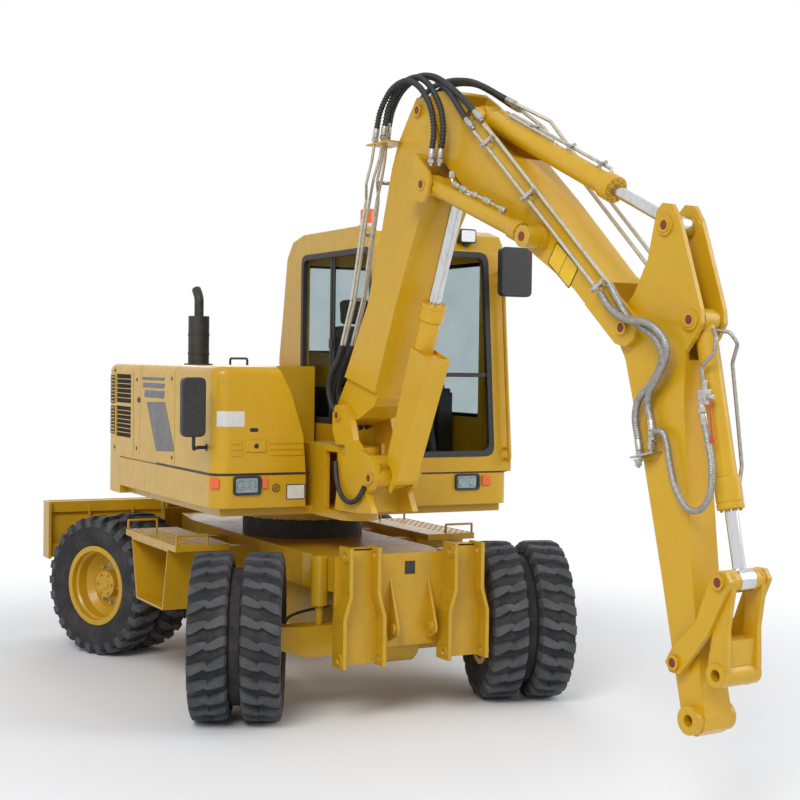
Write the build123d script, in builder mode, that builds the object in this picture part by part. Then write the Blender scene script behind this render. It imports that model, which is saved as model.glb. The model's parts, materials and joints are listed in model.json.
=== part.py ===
from build123d import *
import os
from math import cos, hypot, pi, radians, sin

# Wheeled excavator with twin tyres, all-wheel steering, a rear blade, a swing post and a two-piece boom.
# Millimetres. Z is up, the front faces -Y, and +X is the machine's left.
# The origin is on the ground under the middle of the slewing ring.

# Running clearances
PIN_GAP = 0.05
SIDE_GAP = 0.4
SHUT_GAP = 6.0

# Wheels and axles
WHEELBASE = 2540.0
TYRE_R = 506.0
TYRE_W = 237.0
TYRE_BORE_R = 262.0
SIDEWALL_R = 410.0
LUG_COUNT = 26
LUG_ROOT_R = 480.0
LUG_ROW_W = 100.0
BEAD_GAP = 0.3
TWIN_PITCH = 307.0
TWIN_X = 955.0
KINGPIN_IN = 154.0
RIM_FLANGE_R = 290.0
RIM_FLANGE_T = 8.0
RIM_T = 11.0
RIM_HALF = 96.0
RIM_GUTTER = 38.0
RIM_DROP = 14.0
DISC_T = 16.0
DISH_R = 196.0
DISH_DEEP = 44.0
HUB_R = 175.0
HUB_CAP_R = 98.0
HUB_CAP_OUT = 74.0
SPINDLE_R = 68.0
KINGPIN_R = 26.0
KNUCKLE_R = 48.0
KNUCKLE_H = 125.0
YOKE_T = 34.0
BEAM_W = 130.0
BEAM_LOW = 366.0
BEAM_TOP = 556.0
DIFF_R = 172.0
STEER_FRONT_RIGHT = -25.3
STEER_FRONT_LEFT = -16.7
STEER_REAR_RIGHT = 25.3
STEER_REAR_LEFT = 16.7

# Chassis
FRAME_TOP = 970.0
FRAME_WAIST = 760.0
FRAME_LOW = 440.0
FRAME_ARCH = 640.0
FRAME_HALF = 450.0
CORE_HALF = 330.0
FRAME_OVER = 290.0
FRAME_END = WHEELBASE / 2 + FRAME_OVER
ARCH_HALF = 235.0
END_PLATE_T = 22.0
END_PLATE_Y = FRAME_END + 25.0
LUG_X = 352.0
LUG_TOP_GAP = 184.0
LUG_LOW_GAP = 260.0
LUG_T = 24.0
LUG_TOP = 1070.0
LUG_BOTTOM = 360.0
LUG_DEEP = 150.0
LUG_FACE = END_PLATE_Y + LUG_DEEP
LUG_BORE_R = 21.0
LUG_BOSS_R = 44.0
LUG_BOSS_OUT = 9.0
LUG_PIN_IN = 46.0
RING_R = 417.0
RING_TOP = 1092.0
RACE_R = 396.0
DECK_LOW = 1200.0
LOCK_X = 440.0
LOCK_R = 54.0
LOCK_TOP = 980.0
LOCK_LOW = 672.0
LOCK_ROD_R = 27.0

# Step boxes
STEP_OUT = 1100.0
STEP_IN = 730.0
STEP_TOP = 975.0
STEP_FRONT = -500.0
STEP_REAR = 560.0
TREAD_T = 42.0
TREAD_IN = 880.0
BOX_FRONT = -345.0
BOX_REAR = 430.0
BOX_LOW_FRONT = -250.0
BOX_LOW_REAR = 310.0
BOX_LOW = 525.0
BOX_WALL = 14.0
GRAB_H = 62.0
GRAB_R = 8.0

# Blade at the rear
BLADE_HALF = 1225.0
BLADE_LOW = 570.0
BLADE_TOP = 1022.0
BLADE_Y = FRAME_END + 650.0
BLADE_DEEP = 170.0
BLADE_T = 22.0
BLADE_ARM_T = 96.0
BLADE_ROD_Y = BLADE_Y - 135.0
BLADE_ROD_Z = 640.0
BLADE_CYL_R = 46.0
BLADE_ROD_R = 24.0
BLADE_HEAD_GAP = 92.0
BLADE_FLOOR = 62.0
BLADE_TAIL = 84.0

# Upper structure
UPPER_HALF = 1030.0
UPPER_REAR = 1450.0
DECK_T = 52.0
SKIRT_LOW = 1252.0
SEAM_Z = 1462.0
SEAM_GAP = 8.0
HOOD_TOP = 2130.0
HOOD_WALL = 26.0
COVER_FRONT = -1000.0
COVER_BACK = -250.0
COVER_IN = -420.0
CAB_RIGHT = 0.0
CAB_LEFT = 950.0
CAB_FRONT = -1220.0
CAB_REAR = 450.0
CAB_TOP = 3045.0
CAB_WALL = 60.0
DOOR_FRONT = -960.0
DOOR_BACK = 95.0
DOOR_LOW = 1500.0
DOOR_TOP = 2925.0
HINGE_X = 968.0
HINGE_R = 16.0
GLASS_T = 6.0
ENGINE_RIGHT = -740.0
ENGINE_LEFT = 600.0
EXHAUST_X = -700.0
EXHAUST_Y = 220.0
EXHAUST_R = 72.0
EXHAUST_TOP = 2466.0
TAIL_R = 32.0
TAIL_T = 4.0
TAIL_RISE = 129.0
TAIL_BACK = 55.0
TAIL_BEND = 80.0
TAIL_OPEN = 40.0
BEACON_X = 66.0
BEACON_Y = -845.0
BEACON_R = 50.0
BEACON_H = 115.0
GRILLE_DEEP = 14.0
SLAT_IN = 3.0
SLAT_PITCH = 30.0
SLAT_T = 6.0
MIRROR_BAR_R = 11.0

# Swing post and the plane of the boom
SWING_X = -226.0
SWING_Y = -1350.0
SWING_REST = 7.0
POST_HALF = 165.0
EAR_T = 40.0
POST_BARREL_R = 128.0
FORK_T = 36.0
FORK_HIGH = 1610.0
FORK_HALF = 128.0
SWING_PIN_R = 42.0

# Pivots in the boom's plane: distance ahead of the swing axis, height
FOOT = (30.0, 1840.0)
LIFT_BASE = (392.0, 1484.0)
LIFT_TOP = (1022.0, 3135.0)
HINGE = (820.0, 3574.0)
ADJUST_END = (1872.0, 2802.0)
ARM_CYL_BASE = (1255.0, 3498.0)
ARM_PIVOT = (2485.0, 2341.0)
ARM_CYL_END = (2717.0, 2810.0)
BUCKET_CYL_BASE = (2887.0, 2373.0)
TIP = (2947.0, 572.0)
LINK_ARM = (2872.0, 824.0)
LINK_TOP = (3137.0, 1221.0)
LINK_FREE = (3105.0, 803.0)

# Boom, arm and link widths
BOOM_HALF = 150.0
BOOM_PLATE = 26.0
JIB_HALF = 118.0
JIB_PLATE = 18.0
ARM_HALF = 85.0
ARM_PLATE = 24.0
LINK_T = 24.0
PIN_R = 30.0
EYE_HALF = 46.0
BORE_R = 27.0

# Cylinders
LIFT_R = 62.0
LIFT_ROD_R = 37.0
ADJUST_R = 44.0
ADJUST_ROD_R = 28.0
ADJUST_V = 203.0
ADJUST_EYE_HALF = 49.0
ARM_CYL_R = 56.0
ARM_ROD_R = 30.0
BUCKET_CYL_R = 50.0
BUCKET_ROD_R = 30.0

swing = radians(SWING_REST)
side_dir = Vector(cos(swing), sin(swing), 0)
ahead_dir = Vector(sin(swing), -cos(swing), 0)
lift_cheek = BOOM_HALF - BOOM_PLATE


def boom_plane(left=0.0):
    """Plane of the boom, shifted to the machine's left; its x runs ahead and its y up."""
    start = Vector(SWING_X, SWING_Y, 0) + side_dir * left
    return Plane(origin=start, x_dir=ahead_dir, z_dir=side_dir * -1)


def boom_point(point, left=0.0):
    """A point of the boom's plane in space."""
    return Vector(SWING_X, SWING_Y, 0) + side_dir * left + ahead_dir * point[0] + Vector(0, 0, point[1])


def along(start, end, share, offset):
    """Point at a share of the way from start to end, moved square to it by an offset to its left."""
    run = hypot(end[0] - start[0], end[1] - start[1])
    step = ((end[0] - start[0]) / run, (end[1] - start[1]) / run)
    return (
        start[0] + step[0] * run * share - step[1] * offset,
        start[1] + step[1] * run * share + step[0] * offset,
    )


def spaced(start, end, distance):
    """Point at a distance from start on the way to end, in the boom's plane."""
    run = hypot(end[0] - start[0], end[1] - start[1])
    return along(start, end, distance / run, 0)


def outline(start, end, table):
    """Corner list from a table with the columns share along, offset in mm."""
    return [along(start, end, share, offset) for share, offset in table]


def slab(points, half, left=0.0, mode=Mode.ADD):
    """Plate or box with an outline in the boom's plane, as thick as twice half."""
    with BuildSketch(boom_plane(left)) as face:
        with BuildLine():
            Polyline(*points, close=True)
        make_face()
    extrude(face.sketch, amount=half, both=True, mode=mode)


def cross_pin(point, low, high, radius, mode=Mode.ADD):
    """Round bar across the boom, from one side distance to another."""
    with BuildSketch(boom_plane((low + high) / 2)) as disc:
        with Locations(point):
            Circle(radius)
    extrude(disc.sketch, amount=(high - low) / 2, both=True, mode=mode)


def rod(start, end, radius, mode=Mode.ADD):
    """Round bar between two points in space."""
    start = Vector(*start)
    end = Vector(*end)
    with BuildSketch(Plane(origin=start, z_dir=end - start)) as disc:
        Circle(radius)
    extrude(disc.sketch, amount=(end - start).length, mode=mode)


def tube(corners, bend, radius):
    """Round tube along straight runs joined by arcs, given back as its middle line."""
    with BuildLine() as way:
        FilletPolyline(*corners, radius=bend)
    with BuildSketch(Plane(origin=way.line @ 0, z_dir=way.line % 0)) as ring:
        Circle(radius)
    sweep(ring.sketch, path=way.line)
    return way.line


def block(low, high, mode=Mode.ADD):
    """Upright block between two opposite corners."""
    middle = [(a + b) / 2 for a, b in zip(low, high)]
    size = [abs(b - a) for a, b in zip(low, high)]
    with BuildSketch(Plane(origin=(middle[0], middle[1], min(low[2], high[2])))) as base:
        Rectangle(size[0], size[1])
    extrude(base.sketch, amount=size[2], mode=mode)


def side_slab(points, low, high, mode=Mode.ADD):
    """Solid with an outline in Y and Z between two places along X."""
    with BuildSketch(Plane(origin=(low, 0, 0), x_dir=(0, 1, 0), z_dir=(1, 0, 0))) as face:
        with BuildLine():
            Polyline(*points, close=True)
        make_face()
    extrude(face.sketch, amount=high - low, mode=mode)


def x_bar(y, z, low, high, radius, mode=Mode.ADD):
    """Round bar along X."""
    rod((low, y, z), (high, y, z), radius, mode=mode)


def save(name, builder):
    """Label a finished piece and write it."""
    builder.part.label = name
    export_step(builder.part, "parts/" + name + ".step")


os.makedirs("parts", exist_ok=True)

# Chassis frame: a closed box between the axles with a lower core and a plate on each end
arch_start = WHEELBASE / 2 - ARCH_HALF
core_side = [
    (-FRAME_END, FRAME_TOP),
    (FRAME_END, FRAME_TOP),
    (FRAME_END, FRAME_ARCH),
    (arch_start, FRAME_ARCH),
    (arch_start - 120, FRAME_LOW),
    (-arch_start + 120, FRAME_LOW),
    (-arch_start, FRAME_ARCH),
    (-FRAME_END, FRAME_ARCH),
]
with BuildPart() as chassis_frame:
    side_slab(core_side, -CORE_HALF, CORE_HALF)
    with BuildSketch(Plane.XY.offset(FRAME_WAIST)) as flank:
        with BuildLine():
            Polyline(
                (-FRAME_HALF, -arch_start),
                (-LUG_X, -FRAME_END),
                (LUG_X, -FRAME_END),
                (FRAME_HALF, -arch_start),
                (FRAME_HALF, arch_start),
                (LUG_X, FRAME_END),
                (-LUG_X, FRAME_END),
                (-FRAME_HALF, arch_start),
                close=True,
            )
        make_face()
    extrude(amount=FRAME_TOP - FRAME_WAIST)
    for end in (-1, 1):
        block(
            (-LUG_X - LUG_LOW_GAP / 2, end * END_PLATE_Y, BEAM_LOW + 80),
            (LUG_X + LUG_LOW_GAP / 2, end * (END_PLATE_Y - END_PLATE_T), LUG_TOP - 60),
        )
        block((-CORE_HALF, end * FRAME_END, FRAME_ARCH), (CORE_HALF, end * END_PLATE_Y, FRAME_TOP))
    for side in (-1, 1):
        rod(
            (side * LOCK_X, -WHEELBASE / 2, LOCK_LOW),
            (side * LOCK_X, -WHEELBASE / 2, FRAME_TOP + 1),
            LOCK_R,
            mode=Mode.SUBTRACT,
        )
save("chassis_frame", chassis_frame)

# Lugs: two pairs of cranked cheeks on each end plate, open bores in front and the blade's pins behind
lug_bores = [LUG_TOP - LUG_PIN_IN, LUG_BOTTOM + LUG_PIN_IN]
lug_pin_y = LUG_FACE - LUG_PIN_IN - 8
knee_high = LUG_TOP * 0.6 + LUG_BOTTOM * 0.4
knee_low = LUG_TOP * 0.42 + LUG_BOTTOM * 0.58
for name, end in (("front_lugs", -1), ("rear_lugs", 1)):
    with BuildPart() as lugs:
        for side in (-1, 1):
            for cheek in (-1, 1):
                face_plane = Plane(origin=(0, end * LUG_FACE, 0), x_dir=(-1, 0, 0), z_dir=(0, 1, 0))
                with BuildSketch(face_plane) as lug:
                    top_x = -side * (LUG_X + cheek * LUG_TOP_GAP / 2)
                    low_x = -side * (LUG_X + cheek * LUG_LOW_GAP / 2)
                    half = LUG_T / 2
                    with BuildLine():
                        Polyline(
                            (top_x - half, LUG_TOP),
                            (top_x - half, knee_high),
                            (low_x - half, knee_low),
                            (low_x - half, LUG_BOTTOM),
                            (low_x + half, LUG_BOTTOM),
                            (low_x + half, knee_low),
                            (top_x + half, knee_high),
                            (top_x + half, LUG_TOP),
                            close=True,
                        )
                    make_face()
                extrude(lug.sketch, amount=-end * LUG_DEEP)
            for height, gap in zip(lug_bores, (LUG_TOP_GAP, LUG_LOW_GAP)):
                outer = side * (LUG_X + gap / 2 + LUG_T / 2 + LUG_BOSS_OUT)
                inner = side * (LUG_X - gap / 2 - LUG_T / 2 - LUG_BOSS_OUT)
                boss = side * (LUG_T + LUG_BOSS_OUT)
                x_bar(end * lug_pin_y, height, outer, outer - boss, LUG_BOSS_R)
                x_bar(end * lug_pin_y, height, inner, inner + boss, LUG_BOSS_R)
                pin_mode = Mode.SUBTRACT if end < 0 else Mode.ADD
                x_bar(end * lug_pin_y, height, outer, inner, LUG_BORE_R, mode=pin_mode)
    save(name, lugs)

# Slewing ring, fixed half
with BuildPart() as slew_ring_base:
    with BuildSketch(Plane.XY.offset(FRAME_TOP)):
        Circle(RING_R)
    extrude(amount=RING_TOP - FRAME_TOP)
save("slew_ring_base", slew_ring_base)

# Axle beams: tapered box with a differential and upright barrels for the kingpins
kingpin_x = TWIN_X - KINGPIN_IN
for name, axle_y in (("front_axle", -WHEELBASE / 2), ("rear_axle", WHEELBASE / 2)):
    with BuildPart() as axle:
        with BuildSketch(Plane(origin=(0, axle_y, 0), x_dir=(1, 0, 0), z_dir=(0, -1, 0))) as beam:
            with BuildLine():
                Polyline(
                    (-kingpin_x, TYRE_R - 60),
                    (-kingpin_x * 0.68, BEAM_LOW),
                    (kingpin_x * 0.68, BEAM_LOW),
                    (kingpin_x, TYRE_R - 60),
                    (kingpin_x, TYRE_R + 60),
                    (kingpin_x * 0.68, BEAM_TOP),
                    (-kingpin_x * 0.68, BEAM_TOP),
                    (-kingpin_x, TYRE_R + 60),
                    close=True,
                )
            make_face()
        extrude(beam.sketch, amount=BEAM_W / 2, both=True)
        x_bar(axle_y, (BEAM_LOW + BEAM_TOP) / 2, -DIFF_R, DIFF_R, DIFF_R)
        block((-110, axle_y - 90, BEAM_TOP - 20), (110, axle_y + 90, FRAME_ARCH))
        for side in (-1, 1):
            block(
                (side * (kingpin_x - 2), axle_y - KNUCKLE_R - 8, TYRE_R - 58),
                (side * (kingpin_x + KNUCKLE_R + 30), axle_y + KNUCKLE_R + 8, TYRE_R + 58),
                mode=Mode.SUBTRACT,
            )
            rod(
                (side * kingpin_x, axle_y, TYRE_R - KNUCKLE_H),
                (side * kingpin_x, axle_y, TYRE_R + KNUCKLE_H),
                KNUCKLE_R,
            )
            rod(
                (side * kingpin_x, axle_y, TYRE_R - KNUCKLE_H - YOKE_T),
                (side * kingpin_x, axle_y, TYRE_R + KNUCKLE_H + YOKE_T),
                KINGPIN_R,
            )
    save(name, axle)

# Axle lock cylinders beside the front lugs
with BuildPart() as axle_locks:
    for side in (-1, 1):
        rod(
            (side * LOCK_X, -WHEELBASE / 2, LOCK_LOW),
            (side * LOCK_X, -WHEELBASE / 2, LOCK_TOP),
            LOCK_R,
        )
        rod(
            (side * LOCK_X, -WHEELBASE / 2, BEAM_TOP),
            (side * LOCK_X, -WHEELBASE / 2, LOCK_LOW),
            LOCK_ROD_R,
        )
save("axle_locks", axle_locks)

# Step boxes between the wheels
for name, side in (("step_right", -1), ("step_left", 1)):
    with BuildPart() as step:
        box_side = [
            (BOX_FRONT, STEP_TOP - TREAD_T),
            (BOX_LOW_FRONT, BOX_LOW),
            (BOX_LOW_REAR, BOX_LOW),
            (BOX_REAR, STEP_TOP - TREAD_T),
        ]
        hollow = [
            (BOX_FRONT + BOX_WALL, STEP_TOP - TREAD_T - BOX_WALL),
            (BOX_LOW_FRONT + BOX_WALL, BOX_LOW + BOX_WALL),
            (BOX_LOW_REAR - BOX_WALL, BOX_LOW + BOX_WALL),
            (BOX_REAR - BOX_WALL, STEP_TOP - TREAD_T - BOX_WALL),
        ]
        low_x = min(side * STEP_OUT, side * STEP_IN)
        high_x = max(side * STEP_OUT, side * STEP_IN)
        side_slab(box_side, low_x, high_x)
        mouth_low = low_x - (1 if side < 0 else -BOX_WALL)
        mouth_high = high_x - (BOX_WALL if side < 0 else -1)
        side_slab(hollow, mouth_low, mouth_high, mode=Mode.SUBTRACT)
        block(
            (side * STEP_OUT, STEP_FRONT, STEP_TOP - TREAD_T),
            (side * STEP_IN, STEP_REAR, STEP_TOP),
        )
        block(
            (side * (STEP_IN + 20), BOX_LOW_FRONT + 110, BOX_LOW + 120),
            (side * (STEP_IN - 20), BOX_LOW_REAR - 150, STEP_TOP - 180),
            mode=Mode.SUBTRACT,
        )
        for arm_y in (STEP_FRONT + 240, STEP_REAR - 240):
            block(
                (side * STEP_IN, arm_y - 40, FRAME_WAIST + 40),
                (side * FRAME_HALF, arm_y + 40, STEP_TOP - TREAD_T),
            )
        for end_y in (STEP_FRONT + GRAB_R + 8, STEP_REAR - GRAB_R - 8):
            near = side * (STEP_OUT - GRAB_R - 4)
            far = side * TREAD_IN
            rod((near, end_y, STEP_TOP), (near, end_y, STEP_TOP + GRAB_H), GRAB_R)
            rod((far, end_y, STEP_TOP), (far, end_y, STEP_TOP + GRAB_H), GRAB_R)
            rod((near, end_y, STEP_TOP + GRAB_H), (far, end_y, STEP_TOP + GRAB_H), GRAB_R)
    save(name, step)

# Twin tyre with two staggered rows of lugs on each half, in its own frame with Z along the axle
lug_pitch = 2 * pi / LUG_COUNT


def lug_row(middle, edge, phase):
    """One row of lugs on its share of the tread, from the middle of the tyre to the shoulder."""
    outer_edge = []
    for step in range(LUG_COUNT):
        for share, reach in ((-0.5, LUG_ROOT_R), (-0.25, TYRE_R), (0.25, TYRE_R)):
            turn = (step + phase + share) * lug_pitch
            radius = reach / cos(share * lug_pitch)
            outer_edge.append((radius * cos(turn), radius * sin(turn)))
    with BuildSketch(Plane.XY.offset(middle)) as row:
        with BuildLine():
            Polyline(*outer_edge, close=True)
        make_face()
    extrude(row.sketch, amount=edge - middle)


def tyre_band(low, high, start, end, phase, mode=Mode.ADD):
    """Ring with a flat for each lug, from one place and size along the axle to another."""
    spread = 1 / cos(lug_pitch / 2)
    turns = [(step + phase + 0.5) * lug_pitch for step in range(LUG_COUNT)]
    near, far = [
        [Vector(size * spread * cos(turn), size * spread * sin(turn), place) for turn in turns]
        for place, size in ((low, start), (high, end))
    ]
    flats = [Face(Wire.make_polygon(near)), Face(Wire.make_polygon(far))]
    for step in range(LUG_COUNT):
        after = (step + 1) % LUG_COUNT
        flats.append(Face(Wire.make_polygon([near[step], near[after], far[after], far[step]])))
    add(Solid(Shell(flats)), mode=mode)


outer_mid = TWIN_PITCH / 2
bead = RIM_HALF - RIM_FLANGE_T
with BuildPart() as twin_tyre:
    twin_end = outer_mid + TYRE_W / 2
    twin_gap = outer_mid - TYRE_W / 2
    for side in (-1, 1):
        for way, phase in ((side, 0.0), (-side, 0.5)):
            shoulder = side * outer_mid + way * LUG_ROW_W
            lug_row(side * outer_mid, shoulder, phase)
            tyre_band(shoulder, side * outer_mid + way * TYRE_W / 2, LUG_ROOT_R, SIDEWALL_R, phase)
    tyre_band(-twin_gap, twin_gap, SIDEWALL_R, SIDEWALL_R, 0.5)
    tyre_bore = TYRE_BORE_R + BEAD_GAP
    tyre_band(-twin_end, twin_end, tyre_bore, tyre_bore, 0.0, mode=Mode.SUBTRACT)
    for side in (-1, 1):
        tyre_band(
            side * (outer_mid + bead),
            side * twin_end,
            RIM_FLANGE_R + BEAD_GAP,
            SIDEWALL_R,
            0.0,
            mode=Mode.SUBTRACT,
        )

# Steering knuckles and twin wheels
corners = [
    # name, side, axle y, steering angle
    ("front_right", -1, -WHEELBASE / 2, STEER_FRONT_RIGHT),
    ("front_left", 1, -WHEELBASE / 2, STEER_FRONT_LEFT),
    ("rear_right", -1, WHEELBASE / 2, STEER_REAR_RIGHT),
    ("rear_left", 1, WHEELBASE / 2, STEER_REAR_LEFT),
]
for name, side, axle_y, steer in corners:
    turn = radians(steer)
    outward = Vector(side * cos(turn), side * sin(turn), 0)
    square = Vector(0, 0, 1).cross(outward)
    pivot = Vector(side * kingpin_x, axle_y, TYRE_R)
    centre = pivot + outward * KINGPIN_IN

    web_near = KNUCKLE_R + 12
    web_far = web_near + 26
    with BuildPart() as knuckle:
        with BuildSketch(Plane(origin=pivot, x_dir=outward, z_dir=square * -1)) as yoke:
            with BuildLine():
                Polyline(
                    (-KINGPIN_R - 26, KNUCKLE_H + 2),
                    (-KINGPIN_R - 26, KNUCKLE_H + YOKE_T),
                    (web_far, KNUCKLE_H + YOKE_T),
                    (web_far, -KNUCKLE_H - YOKE_T),
                    (-KINGPIN_R - 26, -KNUCKLE_H - YOKE_T),
                    (-KINGPIN_R - 26, -KNUCKLE_H - 2),
                    (web_near, -KNUCKLE_H - 2),
                    (web_near, KNUCKLE_H + 2),
                    close=True,
                )
            make_face()
        extrude(yoke.sketch, amount=KINGPIN_R + 22, both=True)
        rod(pivot + outward * web_far, pivot + outward * (web_far + 72), SPINDLE_R)
        rod(
            pivot - Vector(0, 0, KNUCKLE_H + YOKE_T + 1),
            pivot + Vector(0, 0, KNUCKLE_H + YOKE_T + 1),
            KINGPIN_R + PIN_GAP,
            mode=Mode.SUBTRACT,
        )
    save("knuckle_" + name, knuckle)

    rim_end = outer_mid + RIM_HALF
    rim_in = TYRE_BORE_R - RIM_T
    hub_in = web_far - KINGPIN_IN + 8
    hub_out = outer_mid - RIM_HALF + 24
    section = Plane(origin=centre, x_dir=outward, z_dir=square * -1)
    with BuildPart() as rims:
        with BuildSketch(section) as profile:
            with BuildLine():
                Polyline(
                    (hub_in, SPINDLE_R + PIN_GAP),
                    (hub_in, HUB_R),
                    (hub_out - DISC_T, HUB_R),
                    (hub_out - DISC_T, rim_in),
                    (-rim_end, rim_in),
                    (-rim_end, RIM_FLANGE_R),
                    (-outer_mid - bead, RIM_FLANGE_R),
                    (-outer_mid - bead, TYRE_BORE_R),
                    (outer_mid + bead, TYRE_BORE_R),
                    (outer_mid + bead, RIM_FLANGE_R),
                    (rim_end, RIM_FLANGE_R),
                    (rim_end, rim_in),
                    (rim_end - RIM_GUTTER, rim_in),
                    (rim_end - RIM_GUTTER - RIM_DROP, rim_in - RIM_DROP),
                    (hub_out + DISH_DEEP, rim_in - RIM_DROP),
                    (hub_out, DISH_R),
                    (hub_out, HUB_CAP_R),
                    (hub_out + HUB_CAP_OUT, HUB_CAP_R),
                    (hub_out + HUB_CAP_OUT, 0),
                    (hub_in + 84, 0),
                    (hub_in + 84, SPINDLE_R + PIN_GAP),
                    close=True,
                )
            make_face()
        revolve(profile.sketch, axis=Axis(centre, outward))
    save("wheel_" + name, rims)

    with BuildPart() as tyres:
        add(Plane(origin=centre, x_dir=square, z_dir=outward).location * twin_tyre.part)
    save("tyres_" + name, tyres)

# Blade with its two arms
with BuildPart() as dozer_blade:
    belly = (BLADE_TOP + BLADE_LOW) / 2
    with BuildSketch(Plane(origin=(-BLADE_HALF, 0, 0), x_dir=(0, 1, 0), z_dir=(1, 0, 0))) as shell:
        with BuildLine():
            ThreePointArc(
                (BLADE_Y + BLADE_DEEP, BLADE_TOP),
                (BLADE_Y + BLADE_DEEP - 62, belly),
                (BLADE_Y + BLADE_DEEP, BLADE_LOW),
            )
            Line((BLADE_Y + BLADE_DEEP, BLADE_LOW), (BLADE_Y + BLADE_DEEP - 30, BLADE_LOW))
            ThreePointArc(
                (BLADE_Y + BLADE_DEEP - 30, BLADE_LOW),
                (BLADE_Y + BLADE_DEEP - 62 - BLADE_T, belly),
                (BLADE_Y + BLADE_DEEP - 30, BLADE_TOP),
            )
            Line((BLADE_Y + BLADE_DEEP - 30, BLADE_TOP), (BLADE_Y + BLADE_DEEP, BLADE_TOP))
        make_face()
    extrude(shell.sketch, amount=2 * BLADE_HALF)
    spine_y = BLADE_Y + BLADE_DEEP - 62 - BLADE_T + 4
    for z_low, z_high in ((BLADE_TOP - 90, BLADE_TOP - 4), (BLADE_LOW + 4, BLADE_LOW + 110)):
        block((-BLADE_HALF, BLADE_Y + 60, z_low), (BLADE_HALF, BLADE_Y + BLADE_DEEP - 40, z_high))
    for side in (-1, 1):
        block(
            (side * BLADE_HALF, BLADE_Y, BLADE_LOW),
            (side * (BLADE_HALF - BLADE_T), BLADE_Y + BLADE_DEEP, BLADE_TOP),
        )
        for rib_x in (520.0, 880.0):
            block(
                (side * rib_x - 7, BLADE_Y + 50, BLADE_LOW + 60),
                (side * rib_x + 7, BLADE_Y + BLADE_DEEP - 60, BLADE_TOP - 60),
            )
        arm_side = [
            (lug_pin_y, lug_bores[1] + 52),
            (lug_pin_y, lug_bores[1] - 52),
            (BLADE_Y + 80, BLADE_LOW + 20),
            (BLADE_Y + 80, BLADE_LOW + 230),
            (BLADE_ROD_Y + 90, BLADE_ROD_Z - 30),
            (BLADE_ROD_Y + 20, BLADE_ROD_Z - 62),
            (BLADE_ROD_Y - 110, BLADE_ROD_Z - 110),
        ]
        side_slab(arm_side, side * LUG_X - BLADE_ARM_T / 2, side * LUG_X + BLADE_ARM_T / 2)
        pin_half = LUG_LOW_GAP / 2 - LUG_T / 2 - 9 - SIDE_GAP
        x_bar(lug_pin_y, lug_bores[1], side * LUG_X - pin_half, side * LUG_X + pin_half, 52)
        for cheek in (-1, 1):
            cheek_x = side * LUG_X + cheek * (30 + 9 + SIDE_GAP)
            cheek_side = [
                (BLADE_ROD_Y - 66, BLADE_ROD_Z - 120),
                (BLADE_ROD_Y + 76, BLADE_ROD_Z - 80),
                (BLADE_ROD_Y + 40, BLADE_ROD_Z + 36),
                (BLADE_ROD_Y - 30, BLADE_ROD_Z + 40),
            ]
            side_slab(cheek_side, cheek_x - 9, cheek_x + 9)
        x_bar(
            lug_pin_y,
            lug_bores[1],
            side * LUG_X - pin_half - 1,
            side * LUG_X + pin_half + 1,
            LUG_BORE_R + PIN_GAP,
            mode=Mode.SUBTRACT,
        )
save("dozer_blade", dozer_blade)

# Blade cylinders, one in each pair of rear lugs
blade_eye = LUG_TOP_GAP / 2 - LUG_T / 2 - 9 - SIDE_GAP
blade_run = hypot(BLADE_ROD_Y - lug_pin_y, BLADE_ROD_Z - lug_bores[0])
blade_way = ((BLADE_ROD_Y - lug_pin_y) / blade_run, (BLADE_ROD_Z - lug_bores[0]) / blade_run)
with BuildPart() as blade_barrels:
    for side in (-1, 1):
        middle = side * LUG_X
        x_bar(lug_pin_y, lug_bores[0], middle - blade_eye, middle + blade_eye, 42)
        start = (middle, lug_pin_y, lug_bores[0])
        head = (
            middle,
            lug_pin_y + blade_way[0] * (blade_run - BLADE_HEAD_GAP),
            lug_bores[0] + blade_way[1] * (blade_run - BLADE_HEAD_GAP),
        )
        rod(start, head, BLADE_CYL_R)
        floor = (middle, lug_pin_y + blade_way[0] * BLADE_FLOOR, lug_bores[0] + blade_way[1] * BLADE_FLOOR)
        rod(floor, head, BLADE_ROD_R + PIN_GAP, mode=Mode.SUBTRACT)
        x_bar(
            lug_pin_y,
            lug_bores[0],
            middle - blade_eye,
            middle + blade_eye,
            LUG_BORE_R + PIN_GAP,
            mode=Mode.SUBTRACT,
        )
save("blade_barrels", blade_barrels)

with BuildPart() as blade_rods:
    for side in (-1, 1):
        middle = side * LUG_X
        tail = (middle, lug_pin_y + blade_way[0] * BLADE_TAIL, lug_bores[0] + blade_way[1] * BLADE_TAIL)
        rod(tail, (middle, BLADE_ROD_Y, BLADE_ROD_Z), BLADE_ROD_R)
        x_bar(BLADE_ROD_Y, BLADE_ROD_Z, middle - 30, middle + 30, 36)
save("blade_rods", blade_rods)

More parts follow.
